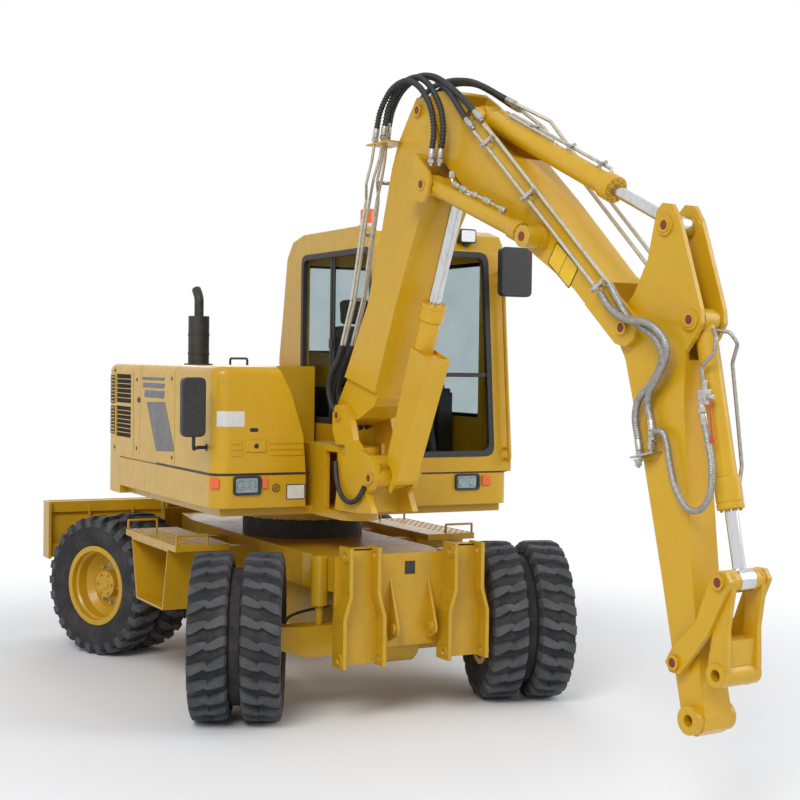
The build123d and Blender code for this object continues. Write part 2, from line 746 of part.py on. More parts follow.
# Deck of the upper structure with the rotating race and the fork for the swing post
with BuildPart() as upper_frame:
    with BuildSketch(Plane.XY.offset(DECK_LOW)) as deck:
        with BuildLine():
            Polyline(
                (-UPPER_HALF + 60, COVER_FRONT + 60),
                (-UPPER_HALF + 60, UPPER_REAR - 500),
                (CAB_LEFT - 50, UPPER_REAR - 500),
                (CAB_LEFT - 50, CAB_FRONT + 60),
                (CAB_RIGHT + 30, CAB_FRONT + 60),
                (SWING_X + FORK_HALF, SWING_Y + 190),
                (SWING_X + FORK_HALF, SWING_Y),
                (SWING_X - FORK_HALF, SWING_Y),
                (SWING_X - FORK_HALF, COVER_FRONT + 60),
                close=True,
            )
        make_face()
        with Locations((SWING_X, SWING_Y)):
            Circle(FORK_HALF)
    extrude(amount=DECK_T)
    with BuildSketch(Plane.XY.offset(RING_TOP + SIDE_GAP)):
        Circle(RACE_R)
    extrude(amount=DECK_LOW - RING_TOP - SIDE_GAP)
    with BuildSketch(Plane.XY.offset(FORK_HIGH)) as fork:
        with BuildLine():
            Polyline(
                (SWING_X + FORK_HALF, SWING_Y),
                (SWING_X - FORK_HALF, SWING_Y),
                (SWING_X - FORK_HALF, COVER_FRONT + 300),
                (SWING_X + FORK_HALF, COVER_FRONT + 300),
                close=True,
            )
        make_face()
        with Locations((SWING_X, SWING_Y)):
            Circle(FORK_HALF)
    extrude(fork.sketch, amount=FORK_T)
    for web_x in (-FORK_HALF + 15, FORK_HALF - 15):
        block(
            (SWING_X + web_x - 15, SWING_Y + 200, DECK_LOW + DECK_T),
            (SWING_X + web_x + 15, COVER_FRONT + 300, FORK_HIGH),
        )
    block(
        (SWING_X - FORK_HALF, COVER_FRONT + 270, DECK_LOW + DECK_T),
        (SWING_X + FORK_HALF, COVER_FRONT + 300, FORK_HIGH),
    )
    rod((SWING_X, SWING_Y, DECK_LOW + 10), (SWING_X, SWING_Y, FORK_HIGH + FORK_T - 10), SWING_PIN_R)
save("upper_frame", upper_frame)

# Skirts under the seam, each with a lip that carries what stands on it
skirts = [
    # name, corners, rounded front corner x and y
    (
        "skirt_right",
        [
            (-UPPER_HALF, COVER_FRONT),
            (COVER_IN, COVER_FRONT),
            (COVER_IN, UPPER_REAR - 500),
            (-UPPER_HALF, UPPER_REAR - 500),
        ],
        (-UPPER_HALF, COVER_FRONT),
    ),
    (
        "skirt_left",
        [
            (CAB_RIGHT + 10, CAB_FRONT),
            (CAB_LEFT, CAB_FRONT),
            (CAB_LEFT, UPPER_REAR - 500),
            (CAB_RIGHT + 10, UPPER_REAR - 500),
        ],
        (CAB_LEFT, CAB_FRONT),
    ),
]
for name, corner_list, rounded in skirts:
    with BuildPart() as skirt:
        with BuildSketch(Plane.XY.offset(SKIRT_LOW)) as band:
            with BuildLine():
                Polyline(*corner_list, close=True)
            make_face()
            corner = band.vertices().sort_by_distance((rounded[0], rounded[1], 0))[0]
            fillet(corner, 110)
            offset(amount=-HOOD_WALL, mode=Mode.SUBTRACT)
        extrude(amount=SEAM_Z - SEAM_GAP - SKIRT_LOW)
        with BuildSketch(Plane.XY.offset(SEAM_Z - SEAM_GAP)) as lip:
            with BuildLine():
                Polyline(*corner_list, close=True)
            make_face()
            corner = lip.vertices().sort_by_distance((rounded[0], rounded[1], 0))[0]
            fillet(corner, 110)
            offset(amount=-HOOD_WALL / 2, mode=Mode.REPLACE)
            offset(amount=-HOOD_WALL / 2, mode=Mode.SUBTRACT)
        extrude(amount=SEAM_GAP)
        block(
            (ENGINE_RIGHT - 20, CAB_REAR + 60, SKIRT_LOW),
            (ENGINE_LEFT + 20, UPPER_REAR - 499, SEAM_Z + 1),
            mode=Mode.SUBTRACT,
        )
    save(name, skirt)

# Counterweight
with BuildPart() as counterweight:
    with BuildSketch(Plane.XY.offset(DECK_LOW - 6)) as weight:
        with BuildLine():
            Polyline(
                (-UPPER_HALF, UPPER_REAR - 500),
                (CAB_LEFT + 60, UPPER_REAR - 500),
                (CAB_LEFT + 60, UPPER_REAR),
                (-UPPER_HALF, UPPER_REAR),
                close=True,
            )
        make_face()
        fillet(weight.vertices().group_by(Axis.Y)[-1], 300)
    extrude(amount=SEAM_Z - DECK_LOW + 6)
save("counterweight", counterweight)

# Engine hood behind the cab, with its slatted grilles on the right, and the cover beside it
side_grilles = [
    # low y, high y, low z, high z
    (700, 1060, 1850, 2055),
    (700, 1060, 1605, 1825),
]
hoods = [
    # name, low x, high x, low y, high y, radius of the rear corners
    ("engine_hood", -UPPER_HALF, CAB_LEFT + 60, CAB_REAR + 40, UPPER_REAR - 10, 290),
    ("side_cover", -UPPER_HALF, CAB_RIGHT - 30, COVER_BACK, CAB_REAR + 34, 0),
]
for name, low_x, high_x, low_y, high_y, rear_round in hoods:
    with BuildPart() as hood:
        with BuildSketch(Plane.XY.offset(SEAM_Z)) as base:
            with BuildLine():
                Polyline((low_x, low_y), (high_x, low_y), (high_x, high_y), (low_x, high_y), close=True)
            make_face()
            if rear_round:
                fillet(base.vertices().group_by(Axis.Y)[-1], rear_round)
        extrude(amount=HOOD_TOP - SEAM_Z)
        if rear_round:
            rim = hood.edges().group_by(Axis.Z)[-1]
        else:
            rim = hood.edges().group_by(Axis.Z)[-1].sort_by(Axis.X)[0]
        fillet(rim, 60)
        with BuildSketch(Plane.XY.offset(SEAM_Z)) as bay:
            add(base.sketch)
            offset(amount=-HOOD_WALL, mode=Mode.REPLACE)
        extrude(bay.sketch, amount=HOOD_TOP - SEAM_Z - 62, mode=Mode.SUBTRACT)
        if rear_round:
            for low_y, high_y, low_z, high_z in side_grilles:
                block(
                    (-UPPER_HALF - 1, low_y, low_z),
                    (-UPPER_HALF + GRILLE_DEEP, high_y, high_z),
                    mode=Mode.SUBTRACT,
                )
                rows = int((high_z - low_z) // SLAT_PITCH)
                for row in range(1, rows):
                    slat_z = low_z + (high_z - low_z) * row / rows
                    block(
                        (-UPPER_HALF + SLAT_IN, low_y, slat_z - SLAT_T / 2),
                        (-UPPER_HALF + GRILLE_DEEP, high_y, slat_z + SLAT_T / 2),
                    )
    save(name, hood)

# Cover in front of the right side, over the tank
with BuildPart() as tank_cover:
    with BuildSketch(Plane(origin=(0, COVER_FRONT, 0), x_dir=(1, 0, 0), z_dir=(0, -1, 0))) as front:
        with BuildLine():
            Polyline(
                (-UPPER_HALF, SEAM_Z),
                (COVER_IN, SEAM_Z),
                (COVER_IN - 20, SEAM_Z + 240),
                (COVER_IN - 106, SEAM_Z + 506),
                (COVER_IN - 190, HOOD_TOP),
                (-UPPER_HALF, HOOD_TOP),
                close=True,
            )
        make_face()
    extrude(front.sketch, amount=COVER_FRONT - COVER_BACK + 8)
    outer_edge = tank_cover.edges().filter_by(Axis.Z).sort_by(Axis.X)[:2].sort_by(Axis.Y)[0]
    fillet(outer_edge, 100)
    top_rim = tank_cover.faces().sort_by(Axis.Z)[-1].edges().sort_by(Axis.Y)[0]
    fillet(top_rim, 60)
save("tank_cover", tank_cover)

# Engine, one heavy block on the deck
with BuildPart() as engine_block:
    block(
        (ENGINE_RIGHT, CAB_REAR + 90, DECK_LOW + DECK_T),
        (ENGINE_LEFT, UPPER_REAR - 520, HOOD_TOP - 190),
    )
save("engine_block", engine_block)

# Exhaust stack: silencer and the bent tail pipe
with BuildPart() as exhaust_stack:
    rod((EXHAUST_X, EXHAUST_Y, HOOD_TOP), (EXHAUST_X, EXHAUST_Y, EXHAUST_TOP), EXHAUST_R)
    tail_way = tube(
        [
            (EXHAUST_X, EXHAUST_Y, EXHAUST_TOP - TAIL_T),
            (EXHAUST_X, EXHAUST_Y, EXHAUST_TOP + TAIL_RISE),
            (EXHAUST_X, EXHAUST_Y + TAIL_BACK, EXHAUST_TOP + TAIL_RISE + TAIL_BACK),
        ],
        TAIL_BEND,
        TAIL_R,
    )
    tail_end = tail_way @ 1
    tail_aim = tail_way % 1
    rod(
        tuple(tail_end - tail_aim * TAIL_OPEN),
        tuple(tail_end + tail_aim),
        TAIL_R - TAIL_T,
        mode=Mode.SUBTRACT,
    )
save("exhaust_stack", exhaust_stack)

# Cab: side outline, hollow inside, with its windows and the door's way cut out
cab_side = [
    (CAB_FRONT, SEAM_Z),
    (CAB_FRONT, SEAM_Z + 110),
    (CAB_FRONT + 120, CAB_TOP - 145),
    (CAB_FRONT + 190, CAB_TOP - 40),
    (CAB_FRONT + 330, CAB_TOP),
    (CAB_REAR - 420, CAB_TOP),
    (CAB_REAR - 230, CAB_TOP - 40),
    (CAB_REAR - 130, CAB_TOP - 150),
    (CAB_REAR - 50, CAB_TOP - 600),
    (CAB_REAR, CAB_TOP - 850),
    (CAB_REAR, SEAM_Z),
]
side_plane = Plane(origin=(CAB_RIGHT, 0, 0), x_dir=(0, 1, 0), z_dir=(1, 0, 0))
inner_plane = Plane(origin=(CAB_RIGHT + CAB_WALL, 0, 0), x_dir=(0, 1, 0), z_dir=(1, 0, 0))
FRONT_SILL = 1575.0
FRONT_HEAD = 2880.0
SIDE_SILL = 1760.0
SIDE_HEAD = 2890.0
REAR_SILL = 2230.0
front_post = 140.0
with BuildPart() as cab_shell:
    with BuildSketch(side_plane) as side_face:
        with BuildLine():
            Polyline(*cab_side, close=True)
        make_face()
    extrude(side_face.sketch, amount=CAB_LEFT - CAB_RIGHT)
    with BuildSketch(inner_plane) as room:
        with BuildLine():
            Polyline(*cab_side, close=True)
        make_face()
        offset(amount=-CAB_WALL, kind=Kind.INTERSECTION, mode=Mode.REPLACE)
    extrude(room.sketch, amount=CAB_LEFT - CAB_RIGHT - 2 * CAB_WALL, mode=Mode.SUBTRACT)
    block(
        (CAB_RIGHT + front_post, CAB_FRONT - 10, FRONT_SILL),
        (CAB_LEFT - front_post, CAB_FRONT + 260, FRONT_HEAD),
        mode=Mode.SUBTRACT,
    )
    side_slab(
        [
            (CAB_FRONT + 110, SIDE_SILL),
            (CAB_FRONT + 205, SIDE_HEAD),
            (CAB_REAR - 400, SIDE_HEAD),
            (CAB_REAR - 400, SIDE_SILL),
        ],
        CAB_RIGHT - 1,
        CAB_RIGHT + CAB_WALL + 1,
        mode=Mode.SUBTRACT,
    )
    block(
        (CAB_LEFT - CAB_WALL - 1, DOOR_FRONT, DOOR_LOW),
        (CAB_LEFT + 1, DOOR_BACK, DOOR_TOP),
        mode=Mode.SUBTRACT,
    )
    block(
        (CAB_RIGHT + front_post, CAB_REAR - 320, REAR_SILL),
        (CAB_LEFT - front_post, CAB_REAR + 1, CAB_TOP - 190),
        mode=Mode.SUBTRACT,
    )
    for height in (DOOR_LOW + 260, DOOR_TOP - 230):
        for low, high in ((height - 62, height - 30 - SIDE_GAP), (height + 30 + SIDE_GAP, height + 62)):
            block((CAB_LEFT - 4, DOOR_BACK + 8, low), (HINGE_X, DOOR_BACK + 60, high))
            rod((HINGE_X, DOOR_BACK + 8, low), (HINGE_X, DOOR_BACK + 8, high), HINGE_R)
        rod((HINGE_X, DOOR_BACK + 8, height - 62), (HINGE_X, DOOR_BACK + 8, height + 62), 8)
save("cab_shell", cab_shell)

# Panes, each as large as its way through the wall
with BuildPart() as cab_glass:
    slope_low = (CAB_FRONT, SEAM_Z + 110)
    slope_high = (CAB_FRONT + 120, CAB_TOP - 145)
    slope = (slope_high[0] - slope_low[0]) / (slope_high[1] - slope_low[1])
    sill_y = CAB_FRONT + 26 + slope * (FRONT_SILL - slope_low[1])
    head_y = CAB_FRONT + 26 + slope * (FRONT_HEAD - slope_low[1])
    side_slab(
        [
            (sill_y, FRONT_SILL),
            (sill_y + GLASS_T, FRONT_SILL),
            (head_y + GLASS_T, FRONT_HEAD),
            (head_y, FRONT_HEAD),
        ],
        CAB_RIGHT + front_post,
        CAB_LEFT - front_post,
    )
    side_slab(
        [
            (CAB_FRONT + 110, SIDE_SILL),
            (CAB_FRONT + 205, SIDE_HEAD),
            (CAB_REAR - 400, SIDE_HEAD),
            (CAB_REAR - 400, SIDE_SILL),
        ],
        CAB_RIGHT + 26,
        CAB_RIGHT + 26 + GLASS_T,
    )
save("cab_glass", cab_glass)

# Door: as thick as the wall, with its window and two hinge knuckles
with BuildPart() as cab_door:
    block(
        (CAB_LEFT - CAB_WALL, DOOR_FRONT + SHUT_GAP, DOOR_LOW + SHUT_GAP),
        (CAB_LEFT, DOOR_BACK - SHUT_GAP, DOOR_TOP - SHUT_GAP),
    )
    block(
        (CAB_LEFT - CAB_WALL - 1, DOOR_FRONT + SHUT_GAP + 70, DOOR_LOW + 300),
        (CAB_LEFT + 1, DOOR_BACK - SHUT_GAP - 70, DOOR_TOP - SHUT_GAP - 70),
        mode=Mode.SUBTRACT,
    )
    for height in (DOOR_LOW + 260, DOOR_TOP - 230):
        block((CAB_LEFT - 4, DOOR_BACK - 44, height - 30), (HINGE_X + 8, DOOR_BACK - SHUT_GAP - 2, height + 30))
        rod((HINGE_X, DOOR_BACK + 8, height - 30), (HINGE_X, DOOR_BACK + 8, height + 30), HINGE_R)
        block((HINGE_X - 8, DOOR_BACK - 20, height - 30), (HINGE_X + 8, DOOR_BACK + 8, height + 30))
        rod(
            (HINGE_X, DOOR_BACK + 8, height - 31),
            (HINGE_X, DOOR_BACK + 8, height + 31),
            8 + PIN_GAP,
            mode=Mode.SUBTRACT,
        )
save("cab_door", cab_door)

with BuildPart() as door_glass:
    block(
        (CAB_LEFT - 34, DOOR_FRONT + SHUT_GAP + 70, DOOR_LOW + 300),
        (CAB_LEFT - 34 + GLASS_T, DOOR_BACK - SHUT_GAP - 70, DOOR_TOP - SHUT_GAP - 70),
    )
save("door_glass", door_glass)

# Seat and consoles
cab_mid = (CAB_LEFT + CAB_RIGHT) / 2
floor_z = SEAM_Z + CAB_WALL
with BuildPart() as operator_seat:
    block((cab_mid - 150, -420, floor_z), (cab_mid + 150, -60, floor_z + 200))
    block((cab_mid - 250, -520, floor_z + 200), (cab_mid + 250, 0, floor_z + 330))
    side_slab(
        [
            (-60, floor_z + 330),
            (60, floor_z + 330),
            (150, floor_z + 930),
            (40, floor_z + 930),
        ],
        cab_mid - 230,
        cab_mid + 230,
    )
save("operator_seat", operator_seat)

with BuildPart() as consoles:
    for side in (-1, 1):
        block(
            (cab_mid + side * 290, -560, floor_z),
            (cab_mid + side * 400, 40, floor_z + 470),
        )
        rod(
            (cab_mid + side * 340, -470, floor_z + 470),
            (cab_mid + side * 340, -490, floor_z + 640),
            18,
        )
    block((cab_mid - 60, -1060, floor_z), (cab_mid + 60, -950, floor_z + 40))
    rod((cab_mid, -1005, floor_z + 20), (cab_mid, -860, floor_z + 620), 34)
    rod((cab_mid, -860, floor_z + 620), (cab_mid, -850, floor_z + 642), 170)
save("consoles", consoles)

# Mirrors, beacon and lamps
with BuildPart() as mirror_left:
    block((CAB_LEFT - 155, CAB_FRONT - 110, 2600), (CAB_LEFT + 80, CAB_FRONT - 45, 2920))
    block((CAB_LEFT, CAB_FRONT + 115, 2680), (CAB_LEFT + 14, CAB_FRONT + 155, 2720))
    tube(
        [
            (CAB_LEFT + 10, CAB_FRONT + 135, 2700),
            (CAB_LEFT + 50, CAB_FRONT + 135, 2700),
            (CAB_LEFT + 50, CAB_FRONT - 60, 2700),
        ],
        28,
        MIRROR_BAR_R,
    )
save("mirror_left", mirror_left)

with BuildPart() as mirror_right:
    block((-UPPER_HALF - 232, COVER_FRONT - 75, 1700), (-UPPER_HALF - 80, COVER_FRONT - 15, 2060))
    block((-UPPER_HALF - 14, COVER_FRONT + 120, 1605), (-UPPER_HALF, COVER_FRONT + 160, 1645))
    tube(
        [
            (-UPPER_HALF - 10, COVER_FRONT + 140, 1625),
            (-UPPER_HALF - 60, COVER_FRONT + 140, 1625),
            (-UPPER_HALF - 150, COVER_FRONT - 45, 1625),
            (-UPPER_HALF - 150, COVER_FRONT - 45, 1704),
        ],
        24,
        MIRROR_BAR_R,
    )
save("mirror_right", mirror_right)

with BuildPart() as beacon:
    rod((BEACON_X, BEACON_Y, CAB_TOP - 60), (BEACON_X, BEACON_Y, CAB_TOP + 16), BEACON_R + 12)
    rod((BEACON_X, BEACON_Y, CAB_TOP + 15), (BEACON_X, BEACON_Y, CAB_TOP + BEACON_H), BEACON_R)
    side_slab(cab_side, CAB_RIGHT - 1, CAB_LEFT + 1, mode=Mode.SUBTRACT)
save("beacon", beacon)

# Swing post: barrel on the upright pin, two side plates and the pins of boom and lift cylinder
ear_in = POST_HALF - EAR_T
ear_mid = POST_HALF - EAR_T / 2
post_side = [
    (-38, 1857),
    (-5, 1901),
    (75, 1910),
    (156, 1846),
    (204, 1698),
    (271, 1642),
    (391, 1614),
    (436, 1546),
    (437, 1476),
    (395, 1415),
    (352, 1392),
    (416, 1277),
    (258, 1266),
    (-2, 1266),
    (9, 1323),
    (49, 1569),
    (60, FORK_HIGH - 10),
    (105, FORK_HIGH - 10),
    (105, FORK_HIGH + FORK_T + 18),
    (2, FORK_HIGH + FORK_T + 18),
    (-36, 1748),
]
post_core = [(0, 1266), (250, 1266), (250, 1560), (190, FORK_HIGH - 10), (0, FORK_HIGH - 10)]
with BuildPart() as swing_post:
    for side in (-1, 1):
        slab(post_side, EAR_T / 2, side * ear_mid)
        cross_pin(LIFT_BASE, side * (EYE_HALF + SIDE_GAP), side * ear_in, 52)
    slab(post_core, ear_in)
    rod(
        (SWING_X, SWING_Y, DECK_LOW + DECK_T + SIDE_GAP),
        (SWING_X, SWING_Y, FORK_HIGH - SIDE_GAP),
        POST_BARREL_R,
    )
    cross_pin(FOOT, -POST_HALF - 12, POST_HALF + 12, PIN_R)
    cross_pin(LIFT_BASE, -POST_HALF - 12, POST_HALF + 12, PIN_R)
    rod(
        (SWING_X, SWING_Y, DECK_LOW),
        (SWING_X, SWING_Y, FORK_HIGH + 1),
        SWING_PIN_R + PIN_GAP,
        mode=Mode.SUBTRACT,
    )
save("swing_post", swing_post)

# First boom: narrow foot, wide body, a fork at the top and the bracket of the cylinders in front
boom_table = [
    # share along from foot to hinge, offset to the rear
    (-0.045, 30),
    (0.02, 95),
    (0.12, 60),
    (0.378, 15),
    (0.625, 68),
    (0.80, 118),
    (0.88, 120),
    (0.965, 85),
    (1.03, 55),
    (1.045, -20),
    (0.939, -255),
    (0.86, -275),
    (0.77, -285),
    (0.69, -262),
    (0.44, -257),
    (0.13, -280),
    (0.10, -270),
    (0.03, -160),
]
body_table = [
    (0.12, 60),
    (0.378, 15),
    (0.625, 68),
    (0.80, 118),
    (0.88, 120),
    (0.965, 85),
    (1.03, 55),
    (1.045, -20),
    (0.939, -255),
    (0.86, -275),
    (0.77, -285),
    (0.69, -262),
    (0.44, -257),
    (0.15, -279),
]
fork_slot = [(0.865, 300), (0.865, -400), (1.3, -400), (1.3, 300)]
rod_pocket = [(0.775, -252), (0.775, -320), (0.90, -320), (0.90, -252)]
cheek_table = [(0.76, -250), (0.79, -410), (0.815, -432), (0.853, -432), (0.866, -400), (0.862, -260)]
wing_table = [(0.77, -240), (0.79, -420), (0.82, -440), (0.853, -436), (0.878, -400), (0.905, -240)]
adjust_in = ADJUST_V - ADJUST_EYE_HALF
adjust_out = ADJUST_V + ADJUST_EYE_HALF
wing_in = adjust_out + SIDE_GAP
wing_out = wing_in + 20
with BuildPart() as first_boom:
    slab(outline(FOOT, HINGE, boom_table), ear_in - SIDE_GAP)
    slab(outline(FOOT, HINGE, body_table), BOOM_HALF)
    slab(outline(FOOT, HINGE, fork_slot), lift_cheek, mode=Mode.SUBTRACT)
    slab(outline(FOOT, HINGE, rod_pocket), EYE_HALF + SIDE_GAP, mode=Mode.SUBTRACT)
    cross_pin(HINGE, -BOOM_HALF - 14, BOOM_HALF + 14, PIN_R)
    for side in (-1, 1):
        cheek_mid = side * (EYE_HALF + SIDE_GAP + 15)
        slab(outline(FOOT, HINGE, cheek_table), 15, cheek_mid)
        cross_pin(LIFT_TOP, side * (EYE_HALF + SIDE_GAP), side * (adjust_in - SIDE_GAP), 50)
        cross_pin(LIFT_TOP, side * (EYE_HALF + SIDE_GAP), side * wing_out, PIN_R)
        slab(outline(FOOT, HINGE, wing_table), 10, side * (wing_in + 10))
        slab(
            outline(FOOT, HINGE, [(0.77, -240), (0.775, -285), (0.90, -285), (0.905, -240)]),
            (wing_out - lift_cheek) / 2,
            side * (wing_out + lift_cheek) / 2,
        )
    cross_pin(FOOT, -ear_in, ear_in, PIN_R + PIN_GAP, mode=Mode.SUBTRACT)
save("first_boom", first_boom)


def barrel(start, end, head, radius, rod_radius, eye_radius, centres, eye_half, deep):
    """Cylinder barrels from an eye with a bore at start towards end, up to the head's distance."""
    for left in centres:
        cross_pin(start, left - eye_half, left + eye_half, eye_radius)
        low = boom_point(start, left)
        shoulder = boom_point(spaced(start, end, eye_radius + 8), left)
        top = boom_point(spaced(start, end, head), left)
        rod(low, shoulder, min(radius, eye_half - 1))
        rod(shoulder, top, radius)
        rod(boom_point(spaced(start, end, deep), left), top, rod_radius + PIN_GAP, mode=Mode.SUBTRACT)
        cross_pin(start, left - eye_half, left + eye_half, PIN_R + PIN_GAP, mode=Mode.SUBTRACT)


def piston_rod(start, end, tail, radius, eye_radius, centres, eye_half):
    """Piston rods from the tail's distance to an eye at end, which carries its own pin."""
    for left in centres:
        rod(boom_point(spaced(start, end, tail), left), boom_point(end, left), radius)
        cross_pin(end, left - eye_half, left + eye_half, eye_radius)


LIFT_HEAD = 1091.0
LIFT_TAIL = 545.0
ADJUST_HEAD = 845.0
ADJUST_TAIL = 84.0
ARM_HEAD = 1136.0
ARM_TAIL = 460.0
BUCKET_HEAD = 863.0
BUCKET_TAIL = 170.0
EYE_R = 58.0

with BuildPart() as lift_barrel:
    guard_table = [
        (0.048, 8),
        (0.46, 28),
        (0.46, -172),
        (0.02, -128),
        (-0.03, -100),
        (-0.03, -78),
        (0.03, -78),
        (0.048, -40),
    ]
    guard_bay = [(-0.1, 60), (0.5, 60), (0.5, -165), (0.02, -121), (-0.1, -95)]
    slab(outline(LIFT_BASE, LIFT_TOP, guard_table), 74)
    slab(outline(LIFT_BASE, LIFT_TOP, guard_bay), 67, mode=Mode.SUBTRACT)
    for near, far in ((0.12, 0.14), (0.43, 0.45)):
        slab(outline(LIFT_BASE, LIFT_TOP, [(near, -14), (far, -14), (far, -110), (near, -110)]), 70)
    barrel(LIFT_BASE, LIFT_TOP, LIFT_HEAD, LIFT_R, LIFT_ROD_R, 66, [0], EYE_HALF, 92)
save("lift_barrel", lift_barrel)

with BuildPart() as lift_rod:
    piston_rod(LIFT_BASE, LIFT_TOP, LIFT_TAIL, LIFT_ROD_R, EYE_R, [0], EYE_HALF)
save("lift_rod", lift_rod)

# Second boom
jib_table = [
    # share along from hinge to arm pivot, offset upwards
    (-0.034, 0),
    (-0.013, 59),
    (0.005, 122),
    (0.047, 183),
    (0.081, 221),
    (0.14, 232),
    (0.208, 234),
    (0.282, 218),
    (0.581, 169),
    (0.905, 94),
    (1.0, 92),
    (1.032, 65),
    (1.044, 0),
    (1.032, -65),
    (1.0, -92),
    (0.97, -88),
    (0.80, -60),
    (0.59, -105),
    (0.35, -140),
    (0.15, -130),
    (0.0, -72),
    (-0.026, -45),
]
jib_fork = [
    (0.86, 104),
    (0.905, 94),
    (1.0, 92),
    (1.032, 65),
    (1.044, 0),
    (1.032, -65),
    (1.0, -92),
    (0.97, -88),
    (0.86, -70),
]
arm_half_pivot = 104.0
with BuildPart() as second_boom:
    slab(outline(HINGE, ARM_PIVOT, jib_table), JIB_HALF)
    slab(outline(HINGE, ARM_PIVOT, jib_fork), 125)
    slab(
        outline(HINGE, ARM_PIVOT, [(0.10, 320), (0.10, 112), (0.30, 112), (0.40, 180), (0.43, 320)]),
        JIB_HALF - JIB_PLATE,
        mode=Mode.SUBTRACT,
    )
    slab(
        outline(HINGE, ARM_PIVOT, [(0.885, 200), (0.885, -200), (1.2, -200), (1.2, 200)]),
        arm_half_pivot + SIDE_GAP,
        mode=Mode.SUBTRACT,
    )
    cross_pin(HINGE, -lift_cheek + SIDE_GAP, lift_cheek - SIDE_GAP, 68)
    cross_pin(ARM_PIVOT, -125 - 14, 125 + 14, PIN_R)
    for side in (-1, 1):
        cross_pin(ARM_CYL_BASE, side * (EYE_HALF + SIDE_GAP), side * (JIB_HALF + 10), 46)
        cross_pin(ADJUST_END, 0, side * (adjust_in - SIDE_GAP), 62)
    cross_pin(ARM_CYL_BASE, -JIB_HALF, JIB_HALF, PIN_R)
    cross_pin(HINGE, -lift_cheek, lift_cheek, PIN_R + PIN_GAP, mode=Mode.SUBTRACT)
save("second_boom", second_boom)

with BuildPart() as adjust_barrels:
    barrel(
        LIFT_TOP,
        ADJUST_END,
        ADJUST_HEAD,
        ADJUST_R,
        ADJUST_ROD_R,
        EYE_R,
        [-ADJUST_V, ADJUST_V],
        ADJUST_EYE_HALF,
        72,
    )
save("adjust_barrels", adjust_barrels)

with BuildPart() as adjust_rods:
    piston_rod(LIFT_TOP, ADJUST_END, ADJUST_TAIL, ADJUST_ROD_R, 54, [-ADJUST_V, ADJUST_V], ADJUST_EYE_HALF)
save("adjust_rods", adjust_rods)

with BuildPart() as arm_barrel:
    barrel(ARM_CYL_BASE, ARM_CYL_END, ARM_HEAD, ARM_CYL_R, ARM_ROD_R, EYE_R, [0], EYE_HALF, 82)
save("arm_barrel", arm_barrel)

with BuildPart() as arm_rod:
    piston_rod(ARM_CYL_BASE, ARM_CYL_END, ARM_TAIL, ARM_ROD_R, 52, [0], EYE_HALF)
save("arm_rod", arm_rod)

# Arm: two plates at the root, a closed box below and a boss at the tip
arm_table = [
    # share along from arm pivot to tip, offset to the front
    (-0.262, 300),
    (-0.275, 345),
    (-0.262, 400),
    (-0.215, 430),
    (0.02, 465),
    (0.055, 455),
    (0.085, 400),
    (0.11, 330),
    (0.23, 270),
    (0.47, 190),
    (0.70, 130),
    (0.93, 78),
    (1.0, 75),
    (1.03, 52),
    (1.041, 0),
    (1.03, -52),
    (1.0, -75),
    (0.98, -70),
    (0.64, -53),
    (0.334, -48),
    (0.074, -60),
    (0.03, -84),
    (0.0, -90),
    (-0.045, -55),
    (-0.079, 63),
    (-0.151, 192),
]
tip_half = 120.0
link_in = 110.0
link_out = link_in + LINK_T
with BuildPart() as arm:
    slab(outline(ARM_PIVOT, TIP, arm_table), ARM_HALF)
    slab(
        outline(ARM_PIVOT, TIP, [(-0.4, 150), (0.02, 150), (0.13, 290), (0.13, 600), (-0.4, 600)]),
        60,
        mode=Mode.SUBTRACT,
    )
    cross_pin(ARM_PIVOT, -arm_half_pivot, arm_half_pivot, 84)
    cross_pin(TIP, -tip_half, tip_half, 66)
    for side in (-1, 1):
        cross_pin(ARM_CYL_END, side * (EYE_HALF + SIDE_GAP), side * (ARM_HALF + 12), 48)
        cross_pin(BUCKET_CYL_BASE, side * (EYE_HALF + SIDE_GAP), side * (ARM_HALF + 12), 48)
        cross_pin(LINK_ARM, side * (ARM_HALF - 10), side * (link_in - SIDE_GAP), 50)
    cross_pin(BUCKET_CYL_BASE, -ARM_HALF, ARM_HALF, PIN_R)
    cross_pin(LINK_ARM, -link_out - 14, link_out + 14, PIN_R)
    cross_pin(ARM_PIVOT, -arm_half_pivot, arm_half_pivot, PIN_R + PIN_GAP, mode=Mode.SUBTRACT)
    cross_pin(TIP, -tip_half, tip_half, BORE_R, mode=Mode.SUBTRACT)
save("arm", arm)

with BuildPart() as bucket_barrel:
    barrel(BUCKET_CYL_BASE, LINK_TOP, BUCKET_HEAD, BUCKET_CYL_R, BUCKET_ROD_R, 54, [0], EYE_HALF, 78)
save("bucket_barrel", bucket_barrel)

with BuildPart() as bucket_rod:
    piston_rod(BUCKET_CYL_BASE, LINK_TOP, BUCKET_TAIL, BUCKET_ROD_R, 52, [0], EYE_HALF)
save("bucket_rod", bucket_rod)

# Side links: two bent plates with stub pins at the top
link_table = [
    # share along from arm pin to top pin, offset to the rear
    (-0.12, 0),
    (-0.08, 48),
    (0.10, 52),
    (0.5, 10),
    (0.9, 50),
    (1.06, 46),
    (1.12, 0),
    (1.08, -48),
    (0.9, -62),
    (0.5, -80),
    (0.10, -62),
    (-0.06, -50),
]
with BuildPart() as side_links:
    for side in (-1, 1):
        slab(outline(LINK_ARM, LINK_TOP, link_table), LINK_T / 2, side * (link_in + LINK_T / 2))
        cross_pin(LINK_TOP, side * (EYE_HALF + SIDE_GAP), side * (link_out + 12), PIN_R)
        cross_pin(
            LINK_ARM,
            side * link_in,
            side * link_out,
            PIN_R + PIN_GAP,
            mode=Mode.SUBTRACT,
        )
save("side_links", side_links)

